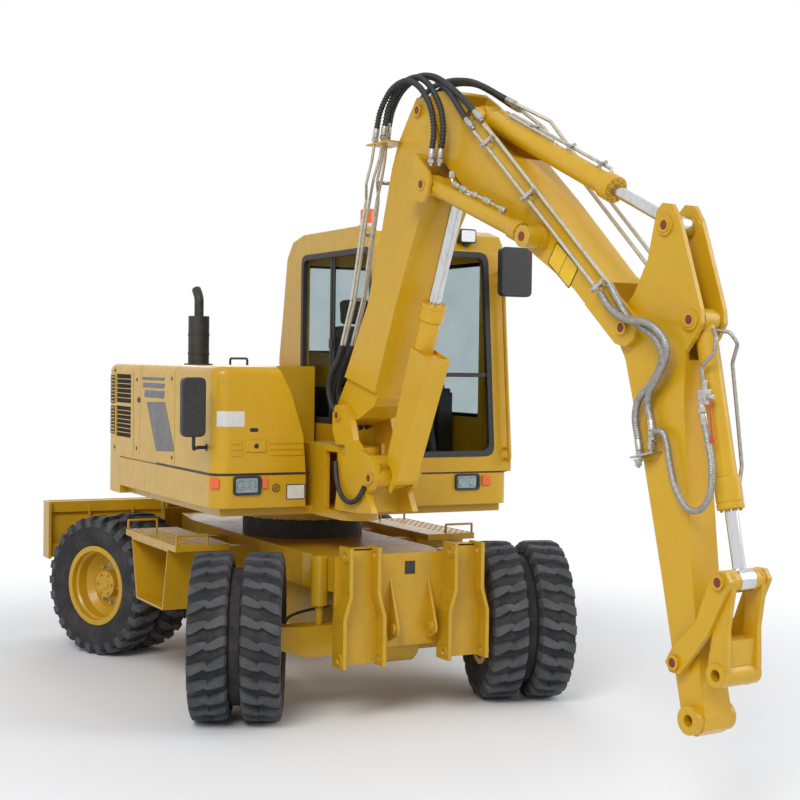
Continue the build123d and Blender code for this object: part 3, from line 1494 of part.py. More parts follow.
# Tipping link: two arms round the stub pins, joined by a web and a tube at the free end
tip_link_table = [
    # share along from top pin to free bore, offset to the front
    (-0.12, 0),
    (-0.08, 44),
    (0.10, 52),
    (0.5, 40),
    (0.9, 58),
    (1.06, 50),
    (1.15, 0),
    (1.06, -50),
    (0.9, -56),
    (0.5, -40),
    (0.10, -50),
    (-0.08, -42),
]
with BuildPart() as tipping_link:
    eye_in = EYE_HALF + SIDE_GAP
    eye_out = link_in - SIDE_GAP
    for side in (-1, 1):
        slab(outline(LINK_TOP, LINK_FREE, tip_link_table), 14, side * (eye_out - 14))
        cross_pin(LINK_TOP, side * eye_in, side * eye_out, 50)
    slab(outline(LINK_TOP, LINK_FREE, [(0.62, 36), (0.9, 40), (0.9, -40), (0.62, -36)]), eye_out - 10)
    cross_pin(LINK_FREE, -118, 118, 56)
    for side in (-1, 1):
        cross_pin(LINK_TOP, side * eye_in, side * eye_out, PIN_R + PIN_GAP, mode=Mode.SUBTRACT)
    cross_pin(LINK_FREE, -118, 118, BORE_R, mode=Mode.SUBTRACT)
save("tipping_link", tipping_link)
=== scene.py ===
import bpy
import bmesh
import json
from math import ceil, cos, pi, radians, sin, tan
from mathutils import Matrix, Vector


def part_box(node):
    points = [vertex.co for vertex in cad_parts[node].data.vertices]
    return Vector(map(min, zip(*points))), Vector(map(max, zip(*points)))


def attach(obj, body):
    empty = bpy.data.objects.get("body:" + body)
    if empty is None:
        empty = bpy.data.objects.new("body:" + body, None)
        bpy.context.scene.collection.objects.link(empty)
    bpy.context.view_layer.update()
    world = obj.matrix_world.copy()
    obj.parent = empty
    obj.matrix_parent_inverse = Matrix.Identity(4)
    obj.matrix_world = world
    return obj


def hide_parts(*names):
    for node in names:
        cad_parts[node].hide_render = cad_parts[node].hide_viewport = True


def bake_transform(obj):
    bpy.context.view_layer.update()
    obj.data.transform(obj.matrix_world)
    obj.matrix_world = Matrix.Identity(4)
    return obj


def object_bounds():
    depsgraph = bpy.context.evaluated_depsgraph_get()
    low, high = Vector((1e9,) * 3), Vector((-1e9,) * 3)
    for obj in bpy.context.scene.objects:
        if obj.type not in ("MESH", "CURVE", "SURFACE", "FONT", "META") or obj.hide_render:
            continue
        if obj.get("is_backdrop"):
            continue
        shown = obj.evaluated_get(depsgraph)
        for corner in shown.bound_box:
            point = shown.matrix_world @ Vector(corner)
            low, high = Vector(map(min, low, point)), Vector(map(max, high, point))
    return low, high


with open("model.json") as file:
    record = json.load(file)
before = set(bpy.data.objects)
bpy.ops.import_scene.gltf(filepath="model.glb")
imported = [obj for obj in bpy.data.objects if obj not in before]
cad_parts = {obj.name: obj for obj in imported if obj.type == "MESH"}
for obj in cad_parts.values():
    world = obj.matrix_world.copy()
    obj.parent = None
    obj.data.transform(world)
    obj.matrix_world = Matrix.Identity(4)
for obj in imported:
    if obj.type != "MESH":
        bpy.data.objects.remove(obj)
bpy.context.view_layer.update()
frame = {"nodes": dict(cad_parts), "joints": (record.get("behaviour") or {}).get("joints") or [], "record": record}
nodes = frame["nodes"]
record = frame["record"]
UP = Vector((0, 0, 1))


def link(ob):
    bpy.context.scene.collection.objects.link(ob)
    return ob


# Shader nodes
def feed(tree, made, inputs):
    """Gives each named input of a node its value, or a link where the value is a socket."""
    for key, value in inputs.items():
        if isinstance(value, bpy.types.NodeSocket):
            tree.links.new(value, made.inputs[key])
        else:
            made.inputs[key].default_value = value


def add(tree, kind, inputs=None, **settings):
    made = tree.nodes.new(kind)
    for key, value in settings.items():
        setattr(made, key, value)
    feed(tree, made, inputs or {})
    return made


MATERIALS = {}


class Shader:
    """A Principled material that is filled in step by step."""

    def __init__(self, name, slot, colour, rough, metal=0.0, coat=0.0, coat_rough=0.1, specular=0.5):
        self.material = bpy.data.materials.new(name)
        self.material.use_nodes = True
        self.tree = self.material.node_tree
        self.bsdf = self.tree.nodes["Principled BSDF"]
        self.colour = (*colour, 1)
        feed(self.tree, self.bsdf, {
            "Base Color": self.colour, "Roughness": rough, "Metallic": metal, "Coat Weight": coat,
            "Coat Roughness": coat_rough, "Specular IOR Level": specular,
        })
        self.coords = self.node("ShaderNodeTexCoord").outputs["Object"]
        MATERIALS[name] = self.material

    def node(self, kind, inputs=None, **settings):
        return add(self.tree, kind, inputs, **settings)

    def noise(self, scale, detail=4.0, rough=0.55, stretch=None):
        coords = self.coords
        if stretch:
            coords = self.node("ShaderNodeMapping", {"Vector": coords, "Scale": stretch}).outputs[0]
        grain = {"Vector": coords, "Scale": scale, "Detail": detail, "Roughness": rough}
        return self.node("ShaderNodeTexNoise", grain).outputs["Fac"]

    def ramp(self, source, low, high, a=0.0, b=1.0):
        span = {"Value": source, "From Min": low, "From Max": high, "To Min": a, "To Max": b}
        return self.node("ShaderNodeMapRange", span, clamp=True).outputs["Result"]

    def times(self, a, b):
        return self.node("ShaderNodeMath", {0: a, 1: b}, operation="MULTIPLY").outputs[0]

    def tint(self, factor, colour, amount=1.0):
        """Mixes a colour over what is there, by a factor."""
        both = {"A": self.colour, "B": (*colour, 1), "Factor": self.times(factor, amount)}
        self.colour = self.node("ShaderNodeMix", both, data_type="RGBA").outputs["Result"]
        feed(self.tree, self.bsdf, {"Base Color": self.colour})

    def rough(self, source, low, high):
        feed(self.tree, self.bsdf, {"Roughness": self.ramp(source, 0.3, 0.7, low, high)})

    def bump(self, source, strength, distance=0.002, edge=0.0):
        inputs = {"Height": source, "Strength": strength, "Distance": distance}
        if edge:
            inputs["Normal"] = self.node("ShaderNodeBevel", {"Radius": edge}).outputs[0]
        feed(self.tree, self.bsdf, {"Normal": self.node("ShaderNodeBump", inputs).outputs[0]})

    def height(self, low, high):
        """1 at the low height of the object, 0 at the high one."""
        split = self.node("ShaderNodeSeparateXYZ", {0: self.coords})
        return self.ramp(split.outputs["Z"], low, high, 1.0, 0.0)


# Camera, floor and lights
CAMERA_AT = Vector((-4.248, -9.675, 2.161))
LOOK = Vector((0.457, 0.8895, 0.0)).normalized()
PITCH = -0.02452
ROLL = 0.01314
LENS = 67.9
SHIFT_X = 0.0052
FLOOR_HALF = 60.0
FLOOR_NEAR = 2.6
FLOOR_FAR = 5.6
SKY = (0.86, 0.91, 1.0, 1)
SKY_STRENGTH = 0.5
AIM_AT = (0, 0, 1.5)


def make_camera():
    forward = (LOOK * cos(PITCH) + Vector((0, 0, sin(PITCH)))).normalized()
    level = forward.cross(UP).normalized()
    upward = level.cross(forward).normalized()
    right = level * cos(ROLL) + upward * sin(ROLL)
    up = upward * cos(ROLL) - level * sin(ROLL)
    data = bpy.data.cameras.new("camera")
    data.lens = LENS
    data.sensor_width = 36.0
    data.shift_x = SHIFT_X
    data.clip_end = 200.0
    cam = link(bpy.data.objects.new("camera", data))
    turn = Matrix((right, up, -forward)).transposed()
    cam.matrix_world = Matrix.Translation(CAMERA_AT) @ turn.to_4x4()
    bpy.context.scene.camera = cam


def area_light(name, at, size, power, colour=(1, 1, 1)):
    data = bpy.data.lights.new(name, "AREA")
    data.shape = "DISK"
    data.size = size
    data.energy = power
    data.color = colour
    ob = link(bpy.data.objects.new(name, data))
    ob.location = at
    ob.rotation_euler = (Vector(AIM_AT) - Vector(at)).to_track_quat("-Z", "Y").to_euler()


def seen_rays(tree):
    """1 for camera, glossy and transmission rays, 0 for all others."""
    path = add(tree, "ShaderNodeLightPath")
    total = path.outputs["Is Camera Ray"]
    for name in ("Is Glossy Ray", "Is Transmission Ray"):
        both = {0: total, 1: path.outputs[name]}
        total = add(tree, "ShaderNodeMath", both, operation="MAXIMUM").outputs[0]
    return total


def make_world():
    world = bpy.data.worlds.new("world")
    bpy.context.scene.world = world
    world.use_nodes = True
    tree = world.node_tree
    tree.nodes.clear()
    lit = add(tree, "ShaderNodeBackground", {"Color": SKY, "Strength": SKY_STRENGTH})
    seen = add(tree, "ShaderNodeBackground", {"Color": (1, 1, 1, 1)})
    mix = add(tree, "ShaderNodeMixShader", {0: seen_rays(tree), 1: lit.outputs[0], 2: seen.outputs[0]})
    add(tree, "ShaderNodeOutputWorld", {"Surface": mix.outputs[0]})


def make_floor():
    """Pale floor that turns into the white background at some distance from the machine."""
    mesh = bpy.data.meshes.new("floor")
    h = FLOOR_HALF
    mesh.from_pydata([(-h, -h, 0), (h, -h, 0), (h, h, 0), (-h, h, 0)], [], [(0, 1, 2, 3)])
    pale = Shader("floor", None, (0.95, 0.95, 0.95), 0.95, specular=0.1)
    length = pale.node("ShaderNodeVectorMath", {0: pale.coords}, operation="LENGTH")
    span = {"Value": length.outputs["Value"], "From Min": FLOOR_NEAR, "From Max": FLOOR_FAR}
    away = pale.node("ShaderNodeMapRange", span, interpolation_type="SMOOTHSTEP")
    factor = pale.times(away.outputs["Result"], seen_rays(pale.tree))
    white = pale.node("ShaderNodeEmission")
    mix = pale.node("ShaderNodeMixShader", {0: factor, 1: pale.bsdf.outputs[0], 2: white.outputs[0]})
    feed(pale.tree, pale.tree.nodes["Material Output"], {"Surface": mix.outputs[0]})
    mesh.materials.append(pale.material)
    link(bpy.data.objects.new("floor", mesh))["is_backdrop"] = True


bpy.context.scene.view_settings.view_transform = "Standard"
make_camera()
make_world()
make_floor()
area_light("key", (-9.0, -11.0, 11.0), 7.0, 1250.0, (1.0, 0.98, 0.95))
area_light("fill", (9.0, -8.0, 7.0), 8.0, 470.0)
area_light("back", (4.0, 12.0, 9.0), 8.0, 560.0)

# Materials
YELLOW = (0.64, 0.365, 0.006)


def paint(name, colour, dirt, edge=0.006):
    made = Shader(name, "paint_yellow", colour, 0.38, coat=0.22, coat_rough=0.16, specular=0.4)
    broad = made.noise(1.3, 3.0)
    made.tint(made.ramp(broad, 0.42, 0.66), tuple(c * 0.86 for c in colour), 0.7)
    fine = made.noise(14.0, 6.0, 0.65)
    made.tint(made.ramp(fine, 0.52, 0.74), (0.3, 0.2, 0.055), dirt)
    streak = made.noise(7.0, 5.0, 0.6, stretch=(1.0, 1.0, 0.12))
    low_dirt = made.times(made.ramp(streak, 0.55, 0.72), made.height(0.2, 1.3))
    made.tint(low_dirt, (0.24, 0.17, 0.07), dirt * 1.4)
    made.rough(fine, 0.26, 0.46)
    made.bump(made.noise(190.0, 2.0), 0.05, 0.001, edge=edge)


def plain(name, slot, colour, second, rough, scale, metal=0.0, coat=0.0, bump=0.1, edge=0.0):
    """Material of two mottled colours with a fine bump."""
    made = Shader(name, slot, colour, rough, metal=metal, coat=coat)
    spots = made.noise(scale, 5.0)
    made.tint(made.ramp(spots, 0.45, 0.72), second, 0.8)
    made.rough(spots, rough * 0.8, min(1.0, rough * 1.3))
    made.bump(made.noise(scale * 6, 3.0), bump, 0.001, edge=edge)


paint("paint_yellow", YELLOW, 0.16)
# Darker copy of the yellow for the undercarriage: painted shade under the upper structure, with heavier dirt as
# well
paint("paint_low_shaded", (0.56, 0.32, 0.008), 0.42)
paint("rim_yellow", (0.6, 0.345, 0.007), 0.3)
plain("dark_steel", "dark_steel", (0.03, 0.028, 0.026), (0.085, 0.065, 0.045), 0.62, 9.0, 0.3,
      bump=0.25, edge=0.004)
plain("black_paint", "black_paint", (0.018, 0.018, 0.019), (0.055, 0.048, 0.04), 0.52, 18.0, edge=0.003)
plain("dark_plastic", "dark_plastic", (0.02, 0.02, 0.021), (0.042, 0.042, 0.043), 0.48, 40.0, edge=0.003)
plain("rubber", "dark_plastic", (0.016, 0.016, 0.017), (0.05, 0.049, 0.047), 0.55, 30.0)
plain("patch_dark", "dark_plastic", (0.082, 0.08, 0.078), (0.1, 0.098, 0.095), 0.45, 12.0, coat=0.3)
plain("stripe_blue", "dark_plastic", (0.062, 0.066, 0.1), (0.08, 0.084, 0.115), 0.42, 12.0, coat=0.3)
plain("sign_yellow", "paint_yellow", (0.8, 0.5, 0.01), (0.72, 0.44, 0.012), 0.32, 30.0)
plain("pipe_steel", "chrome_rod", (0.6, 0.57, 0.47), (0.4, 0.37, 0.29), 0.3, 35.0, 0.75)
plain("fitting_steel", "chrome_rod", (0.52, 0.51, 0.47), (0.25, 0.24, 0.22), 0.32, 60.0, 0.85)
plain("hose_steel", "chrome_rod", (0.36, 0.35, 0.32), (0.2, 0.19, 0.17), 0.42, 50.0, 0.6)
plain("lamp_silver", "chrome_rod", (0.8, 0.81, 0.82), (0.62, 0.63, 0.64), 0.16, 30.0, 0.95)
plain("pin_red", "dark_steel", (0.22, 0.03, 0.022), (0.09, 0.028, 0.022), 0.55, 120.0)
plain("lever_red", "dark_plastic", (0.62, 0.06, 0.02), (0.45, 0.04, 0.02), 0.4, 60.0)
plain("plate_white", "dark_plastic", (0.72, 0.72, 0.68), (0.62, 0.61, 0.56), 0.4, 25.0)
plain("amber_lens", "amber_lens", (0.9, 0.13, 0.006), (0.75, 0.07, 0.004), 0.2, 25.0, coat=0.6)
chrome = Shader("chrome_rod", "chrome_rod", (0.62, 0.63, 0.64), 0.16, metal=1.0)
film = chrome.noise(40.0, 3.0, stretch=(1, 1, 0.1))
chrome.tint(chrome.ramp(film, 0.5, 0.8), (0.34, 0.33, 0.31), 0.6)
chrome.rough(film, 0.1, 0.3)
# Carcass rubber darker than the lugs: painted shade in the grooves between the lugs
tyre = Shader("tyre", "tyre", (0.026, 0.026, 0.028), 0.86, specular=0.35)
tyre.tint(tyre.ramp(tyre.noise(6.0, 6.0, 0.7), 0.44, 0.72), (0.085, 0.078, 0.07), 0.75)
grit = tyre.noise(120.0, 4.0)
tyre.tint(tyre.ramp(grit, 0.58, 0.75), (0.16, 0.145, 0.125), 0.35)
tyre.bump(grit, 0.35, 0.0015, edge=0.003)
# Lug rubber lighter and greyer than the carcass: worn tops, and the contrast with the darker grooves is painted
# shade
tread = Shader("tread", "tyre", (0.062, 0.064, 0.072), 0.8, specular=0.35)
tread.tint(tread.ramp(tread.noise(7.0, 6.0, 0.7), 0.42, 0.72), (0.125, 0.124, 0.128), 0.8)
tread.bump(tread.noise(120.0, 4.0), 0.35, 0.0015, edge=0.003)
seat = Shader("seat_fabric", "seat_fabric", (0.03, 0.03, 0.034), 0.92)
weave = seat.noise(420.0, 2.0)
seat.tint(seat.ramp(weave, 0.4, 0.6), (0.075, 0.075, 0.082), 0.8)
seat.bump(weave, 0.5, 0.001)
glass = Shader("glass", "glass", (0.62, 0.68, 0.69), 0.03)
feed(glass.tree, glass.bsdf, {"Transmission Weight": 1.0, "IOR": 1.05})
glass.tint(glass.ramp(glass.noise(3.0), 0.4, 0.7), (0.52, 0.59, 0.6), 0.6)

# Undercarriage parts get the darker yellow, which is painted shade under the upper structure
LOW_NODES = (
    "chassis_frame", "front_lugs", "rear_lugs", "front_axle", "rear_axle", "axle_locks", "step_right",
    "step_left", "dozer_blade", "blade_barrels",
)
for entry in record["subparts"]:
    ob = nodes[entry["node"]]
    chosen = entry["material_slot"]
    if entry["node"] in LOW_NODES or entry["node"].startswith("knuckle_"):
        chosen = "paint_low_shaded"
    if entry["node"].startswith("wheel_"):
        chosen = "rim_yellow"
    for place in ob.material_slots:
        place.material = MATERIALS[chosen]
    if not ob.material_slots:
        ob.data.materials.append(MATERIALS[chosen])

# Building blocks
SMOOTH_ANGLE = radians(38)


def circle(count, shift=0.0):
    """Cosine and sine at even steps round a circle, moved on by a share of a step."""
    turns = [2 * pi * (k + shift) / count for k in range(count)]
    return [(cos(turn), sin(turn)) for turn in turns]


class Piece:
    """One mesh piece of one material, filled with plates, rings and tubes, then set on its body."""

    def __init__(self, name, body, material, bevel=0.0, segments=2):
        self.name = name
        self.body = body
        self.material = material
        self.bevel = bevel
        self.segments = segments
        self.bm = bmesh.new()

    def loop(self, points):
        return [self.bm.verts.new(p) for p in points]

    def sides(self, first, second):
        count = len(first)
        for i in range(count):
            j = (i + 1) % count
            self.bm.faces.new((first[i], first[j], second[j], second[i]))

    def skin(self, rows, closed=True):
        """Walls between rows of as many points, one after the other, closed at both ends."""
        loops = [self.loop(row) for row in rows]
        for a, b in zip(loops, loops[1:]):
            self.sides(a, b)
        if closed:
            self.bm.faces.new(loops[0][::-1])
            self.bm.faces.new(loops[-1])
        return self

    def prism(self, points, depth):
        """Flat outline pushed along a vector."""
        return self.skin([points, [Vector(p) + Vector(depth) for p in points]])

    def box(self, low, high):
        (x0, y0, z0), (x1, y1, z1) = low, high
        return self.prism([(x0, y0, z0), (x1, y0, z0), (x1, y1, z0), (x0, y1, z0)], (0, 0, z1 - z0))

    def slab(self, place, points, lift, depth):
        """Outline of (u, v) points on a plane, lifted off it and pushed outwards."""
        return self.prism([place(u, v, lift) for u, v in points], place.out * depth)

    def rim(self, place, outer, inner, lift, depth):
        """Flat ring on a plane between two outlines of as many (u, v) points."""
        rows = []
        for points in (outer, inner):
            for out in (lift, lift + depth):
                rows.append(self.loop([place(u, v, out) for u, v in points]))
        for a, b in ((0, 1), (3, 2), (2, 0), (1, 3)):
            self.sides(rows[a], rows[b])
        return self

    def wrap(self, path, low, high, inner, outer):
        """Upright strip that follows a line of places and outward directions."""
        corners = ((inner, low), (outer, low), (outer, high), (inner, high))
        return self.skin([[at + out * w + UP * z for w, z in corners] for at, out in path])

    def lathe(self, start, axis, profile, count=32):
        """Turned body from (distance along the axis, radius) points, closed at both ends."""
        axis = Vector(axis).normalized()
        across = axis.orthogonal().normalized()
        third = axis.cross(across)
        return self.skin([
            [Vector(start) + axis * far + (across * c + third * s) * radius for c, s in circle(count)]
            for far, radius in profile
        ])

    def stud(self, at, axis, radius, height, bevel, count=24):
        """Flat round head, narrower by a bevel over its last millimetre."""
        profile = [(0, radius), (height, radius), (height + 0.001, radius - bevel)]
        return self.lathe(at, axis, profile, count)

    def rod(self, start, end, radius, count=20):
        run = Vector(end) - Vector(start)
        return self.lathe(start, run, [(0, radius), (run.length, radius)], count)

    def nut(self, at, axis, radius, height):
        """Six-sided head with a round washer under it and a stud through it."""
        self.lathe(at, axis, [(0, radius * 1.35), (height * 0.22, radius * 1.35)], 16)
        self.lathe(at, axis, [(height * 0.2, radius), (height, radius)], 6)
        self.lathe(at, axis, [(height * 0.9, radius * 0.5), (height * 1.3, radius * 0.5)], 12)

    def tube(self, path, radius, count=14, ribs=0.0, pitch=0.012):
        """Round tube along points, with ribs as high as given where it is corrugated."""
        if ribs:
            path = even_steps(path, pitch / 4)
        across = (path[1] - path[0]).normalized().orthogonal().normalized()
        rows = []
        for i, place in enumerate(path):
            turned = (path[min(i + 1, len(path) - 1)] - path[max(i - 1, 0)]).normalized()
            across = (across - turned * across.dot(turned)).normalized()
            third = turned.cross(across)
            size = radius + ribs if ribs and i % 4 in (1, 2) else radius
            rows.append([place + (across * c + third * s) * size for c, s in circle(count)])
        return self.skin(rows)

    def done(self, replaces=(), between=None, soft=0):
        bmesh.ops.recalc_face_normals(self.bm, faces=self.bm.faces)
        mesh = bpy.data.meshes.new(self.name)
        self.bm.to_mesh(mesh)
        self.bm.free()
        mesh.materials.append(MATERIALS[self.material])
        for face in mesh.polygons:
            face.use_smooth = True
        ob = link(bpy.data.objects.new(self.name, mesh))
        if self.bevel:
            edges = ob.modifiers.new("edges", "BEVEL")
            edges.width = self.bevel
            edges.segments = self.segments
            edges.limit_method = "ANGLE"
            edges.angle_limit = SMOOTH_ANGLE
        if soft:
            rounder = ob.modifiers.new("soft", "SUBSURF")
            rounder.levels = soft
            rounder.render_levels = soft
        else:
            mesh.set_sharp_from_angle(angle=SMOOTH_ANGLE)
        if between:
            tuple(between[1])
            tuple(between[2])
            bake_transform(ob)
        else:
            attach(ob, self.body)
        if replaces:
            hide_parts(*replaces)
        return ob


def even_steps(path, step):
    """The same path in even steps, for ribs."""
    lengths = [0.0]
    for a, b in zip(path, path[1:]):
        lengths.append(lengths[-1] + (b - a).length)
    steps = max(4, int(ceil(lengths[-1] / step)))
    made = []
    i = 1
    for k in range(steps + 1):
        wanted = lengths[-1] * k / steps
        while wanted > lengths[i] and i < len(path) - 1:
            i += 1
        span = lengths[i] - lengths[i - 1]
        share = 0.0 if span < 1e-9 else min(1.0, (wanted - lengths[i - 1]) / span)
        made.append(path[i - 1].lerp(path[i], share))
    return made


def flowing(points, per=10):
    """Smooth curve through the points."""
    pts = [Vector(p) for p in points]
    pts = [pts[0] * 2 - pts[1]] + pts + [pts[-1] * 2 - pts[-2]]
    made = []
    for a, b, c, d in zip(pts, pts[1:], pts[2:], pts[3:]):
        for k in range(per):
            t = k / per
            square = (2 * a - 5 * b + 4 * c - d) * t * t
            cube = (3 * b - a - 3 * c + d) * t**3
            made.append(0.5 * (2 * b + (c - a) * t + square + cube))
    made.append(pts[-2].copy())
    return made


def arc(a, b, c, radius, steps):
    """Round bend near b, on the way from a to c."""
    before = (a - b).normalized()
    after = (c - b).normalized()
    slope = max(0.05, abs(tan(before.angle(after) / 2)))
    back = min(radius / slope, (a - b).length * 0.49, (c - b).length * 0.49)
    start = b + before * back
    end = b + after * back
    shares = [k / steps for k in range(steps + 1)]
    return [start * (1 - t) ** 2 + b * 2 * t * (1 - t) + end * t * t for t in shares]


def bent(points, radius, steps=6):
    """Straight runs joined by round bends."""
    pts = [Vector(p) for p in points]
    made = [pts[0]]
    for a, b, c in zip(pts, pts[1:], pts[2:]):
        made += arc(a, b, c, radius, steps)
    return made + [pts[-1]]


def neighbours(corners):
    """Each corner of a flat outline, between the ones before and after it."""
    pts = [Vector(p) for p in corners]
    return list(zip(pts[-1:] + pts, pts, pts[1:] + pts[:1]))


def rounded(corners, radius, steps=5):
    """Corners of a flat outline, each replaced by an arc."""
    return [p for a, b, c in neighbours(corners) for p in arc(a, b, c, radius, steps)]


def block(u0, v0, u1, v1, radius=0.0):
    """Outline between two opposite corners, with round ones where a radius is given."""
    corners = [(u0, v0), (u1, v0), (u1, v1), (u0, v1)]
    return rounded(corners, radius) if radius else corners


def inset(corners, size):
    """Outline of a convex shape, moved inwards from each side."""
    centre = sum((Vector(c) for c in corners), Vector((0, 0))) / len(corners)
    made = []
    for a, b, c in neighbours(corners):
        into = []
        for one, two in ((a, b), (b, c)):
            normal = Vector((-(two - one).y, (two - one).x)).normalized()
            into.append(-normal if normal.dot(centre - one) < 0 else normal)
        middle = (into[0] + into[1]).normalized()
        made.append(b + middle * size / max(0.3, middle.dot(into[0])))
    return made


def plane(origin, right, up=UP):
    """Turns (u, v, w) on a plane into a place, with w out of the plane."""
    origin, right, up = Vector(origin), Vector(right).normalized(), Vector(up).normalized()
    out = right.cross(up)

    def place(u, v, w=0.0):
        return origin + right * u + up * v + out * w

    place.out = out
    return place


def front_at(y):
    """Plane that looks to the front, with u to the machine's left."""
    return plane((0, y, 0), (1, 0, 0))


def right_at(x):
    """Plane that looks to the machine's right, with u to the front."""
    return plane((x, 0, 0), (0, -1, 0))


def disc(u, v, radius, count):
    return [(u + c * radius, v + s * radius) for c, s in circle(count)]


# Boom plane
SWING_AT = Vector((-0.226, -1.35, 0.0))
SWING_REST = radians(7.0)
AHEAD = Vector((sin(SWING_REST), -cos(SWING_REST), 0))
SIDE = Vector((cos(SWING_REST), sin(SWING_REST), 0))
FOOT = (0.03, 1.84)
LIFT_BASE = (0.392, 1.484)
LIFT_TOP = (1.022, 3.135)
HINGE = (0.82, 3.574)
ADJUST_END = (1.872, 2.802)
ARM_CYL_BASE = (1.255, 3.498)
ARM_PIVOT = (2.485, 2.341)
ARM_CYL_END = (2.717, 2.81)
BUCKET_CYL_BASE = (2.887, 2.373)
LINK_ARM = (2.872, 0.824)
LINK_TOP = (3.137, 1.221)


def boom(forward, height, side=0.0):
    """Place in the boom's plane: ahead of the swing pin, above the floor, to the machine's left."""
    return SWING_AT + AHEAD * forward + SIDE * side + UP * height


def heading(forward, height):
    """Direction in the boom's plane."""
    return AHEAD * forward + UP * height


def corners_near(node, place):
    """A node's corners in the boom's plane: distance from a place there, and offset to the left."""
    made = []
    for v in nodes[node].data.vertices:
        off = v.co - SWING_AT
        gap = ((off.dot(AHEAD) - place[0]) ** 2 + (off.z - place[1]) ** 2) ** 0.5
        made.append((gap, off.dot(SIDE)))
    return made


def reach_along(node, start, aim):
    """Farthest point of a node along a direction."""
    return max(0.0, max((v.co - start).dot(aim) for v in nodes[node].data.vertices))


# Tyres: round carcass with two staggered rows of slanting lugs on each half
TYRE_R = 0.506
TYRE_HALF = 0.1185
TYRE_APART = 0.1535
TREAD_BASE = 0.476
BEAD_R = 0.2905
LUGS = 26
LUG_FLARE = 1.12
CARCASS_STEPS = 104
WALL = [
    # out from the tyre's middle, radius
    (0.09, TREAD_BASE), (0.108, 0.472), (0.117, 0.445), (TYRE_HALF, 0.41), (0.1175, 0.37),
    (0.112, 0.33), (0.102, 0.3), (0.088, BEAD_R),
]
CARCASS = [(-far, radius) for far, radius in WALL[::-1]] + [(0.0, TREAD_BASE)] + WALL
SPACER = [(-0.036, 0.4), (-0.03, 0.412), (0.03, 0.412), (0.036, 0.4)]
LUG_STATIONS = [
    # out from the middle, shift round the tyre, half width, both in pitches, top and foot radius
    (-0.01, 0.38, 0.03, 0.5045, 0.472), (0.01, 0.3, 0.15, TYRE_R, 0.472),
    (0.05, 0.17, 0.215, TYRE_R, 0.472), (0.084, 0.04, 0.235, 0.505, 0.47),
    (0.104, 0.0, 0.235, 0.498, 0.46), (0.114, 0.0, 0.225, 0.478, 0.45),
    (0.118, 0.0, 0.24, 0.452, 0.43), (0.1183, 0.0, 0.22, 0.432, 0.42),
]


def wheel_axis(corner):
    """Middle of a tyre pair and the direction of its axle."""
    low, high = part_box("tyres_" + corner)
    spin = next(j for j in frame["joints"] if j["name"] == "spin_" + corner)
    return (Vector(low) + Vector(high)) / 2, Vector(spin["axis"]).normalized()


def make_tyres(corner):
    centre, out = wheel_axis(corner)
    fore = UP.cross(out)
    piece = Piece("twin_tyre_" + corner, "wheel_" + corner, "tyre")
    # Lugs in the lighter tread rubber; the darker carcass between them is painted shade in the grooves
    lugs = Piece("tyre_lugs_" + corner, "wheel_" + corner, "tread")

    def at(across, turn, radius):
        return centre + out * across + (fore * cos(turn) + UP * sin(turn)) * radius

    def turned(middle, profile):
        turns = [2 * pi * i / CARCASS_STEPS for i in range(CARCASS_STEPS)]
        rows = [[at(middle + far, turn, radius) for turn in turns] for far, radius in profile]
        piece.skin(rows, closed=False)

    for half in (-1, 1):
        middle = half * TYRE_APART
        turned(middle, CARCASS)
        for way in (-1, 1):
            phase = 0.0 if way == half else 0.5
            for k in range(LUGS):
                rows = []
                for across, shift, width, top, foot in LUG_STATIONS:
                    pitch = k + phase - shift * way * half
                    edges = ((-LUG_FLARE, foot), (-1.0, top), (1.0, top), (LUG_FLARE, foot))
                    rows.append([
                        at(middle + way * across, (pitch + share * width) * 2 * pi / LUGS, radius)
                        for share, radius in edges
                    ])
                lugs.skin(rows)
    turned(0.0, SPACER)
    piece.done(replaces=["tyres_" + corner])
    lugs.done()


# Wheel nuts, hub bolts and the valve
NUT_CIRCLE = 0.142
HUB_FACE = 0.0815
HUB_CIRCLE = 0.074
VALVE_CIRCLE = 0.215
HUB_R = 0.1


def make_wheel_trim(corner):
    wheel = "wheel_" + corner
    centre, out = wheel_axis(corner)
    if out.x * centre.x < 0:
        out = -out
    fore = UP.cross(out)
    hub = [v.co - centre for v in nodes[wheel].data.vertices]
    face = max(off.dot(out) for off in hub if (off - out * off.dot(out)).length < HUB_R)
    steel = Piece("wheel_nuts_" + corner, wheel, "fitting_steel", 0.001)
    for c, s in circle(10, 0.5):
        steel.nut(centre + (fore * c + UP * s) * NUT_CIRCLE + out * HUB_FACE, out, 0.015, 0.02)
    valve = centre + fore * VALVE_CIRCLE
    steel.rod(valve + out * 0.06, valve + out * (reach_along(wheel, centre, out) - 0.02), 0.005)
    steel.done()
    cap = Piece("hub_bolts_" + corner, wheel, "rim_yellow", 0.001)
    for c, s in circle(6):
        cap.nut(centre + (fore * c + UP * s) * HUB_CIRCLE + out * face, out, 0.009, 0.01)
    cap.lathe(centre, out, [(face - 0.001, 0.04), (face + 0.006, 0.036)]).done()


for corner in ("front_right", "front_left", "rear_right", "rear_left"):
    make_tyres(corner)
    make_wheel_trim(corner)

# Undercarriage: black plates as painted shade in the frame's openings, lug plates, ribs, bolts and tread studs
PLATE_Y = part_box("chassis_frame")[0][1]
# Black plates on the frame's front and back faces: painted shade inside the openings
OPENING_SHADE = Piece("frame_opening_shade", "undercarriage", "black_paint")
OPENING_SHADE.box((-0.015, PLATE_Y - 0.0015, 0.88), (0.055, PLATE_Y + 0.004, 0.96))
OPENING_SHADE.box((-0.04, -PLATE_Y - 0.004, 0.88), (0.04, -PLATE_Y + 0.0015, 0.96))
OPENING_SHADE.done()

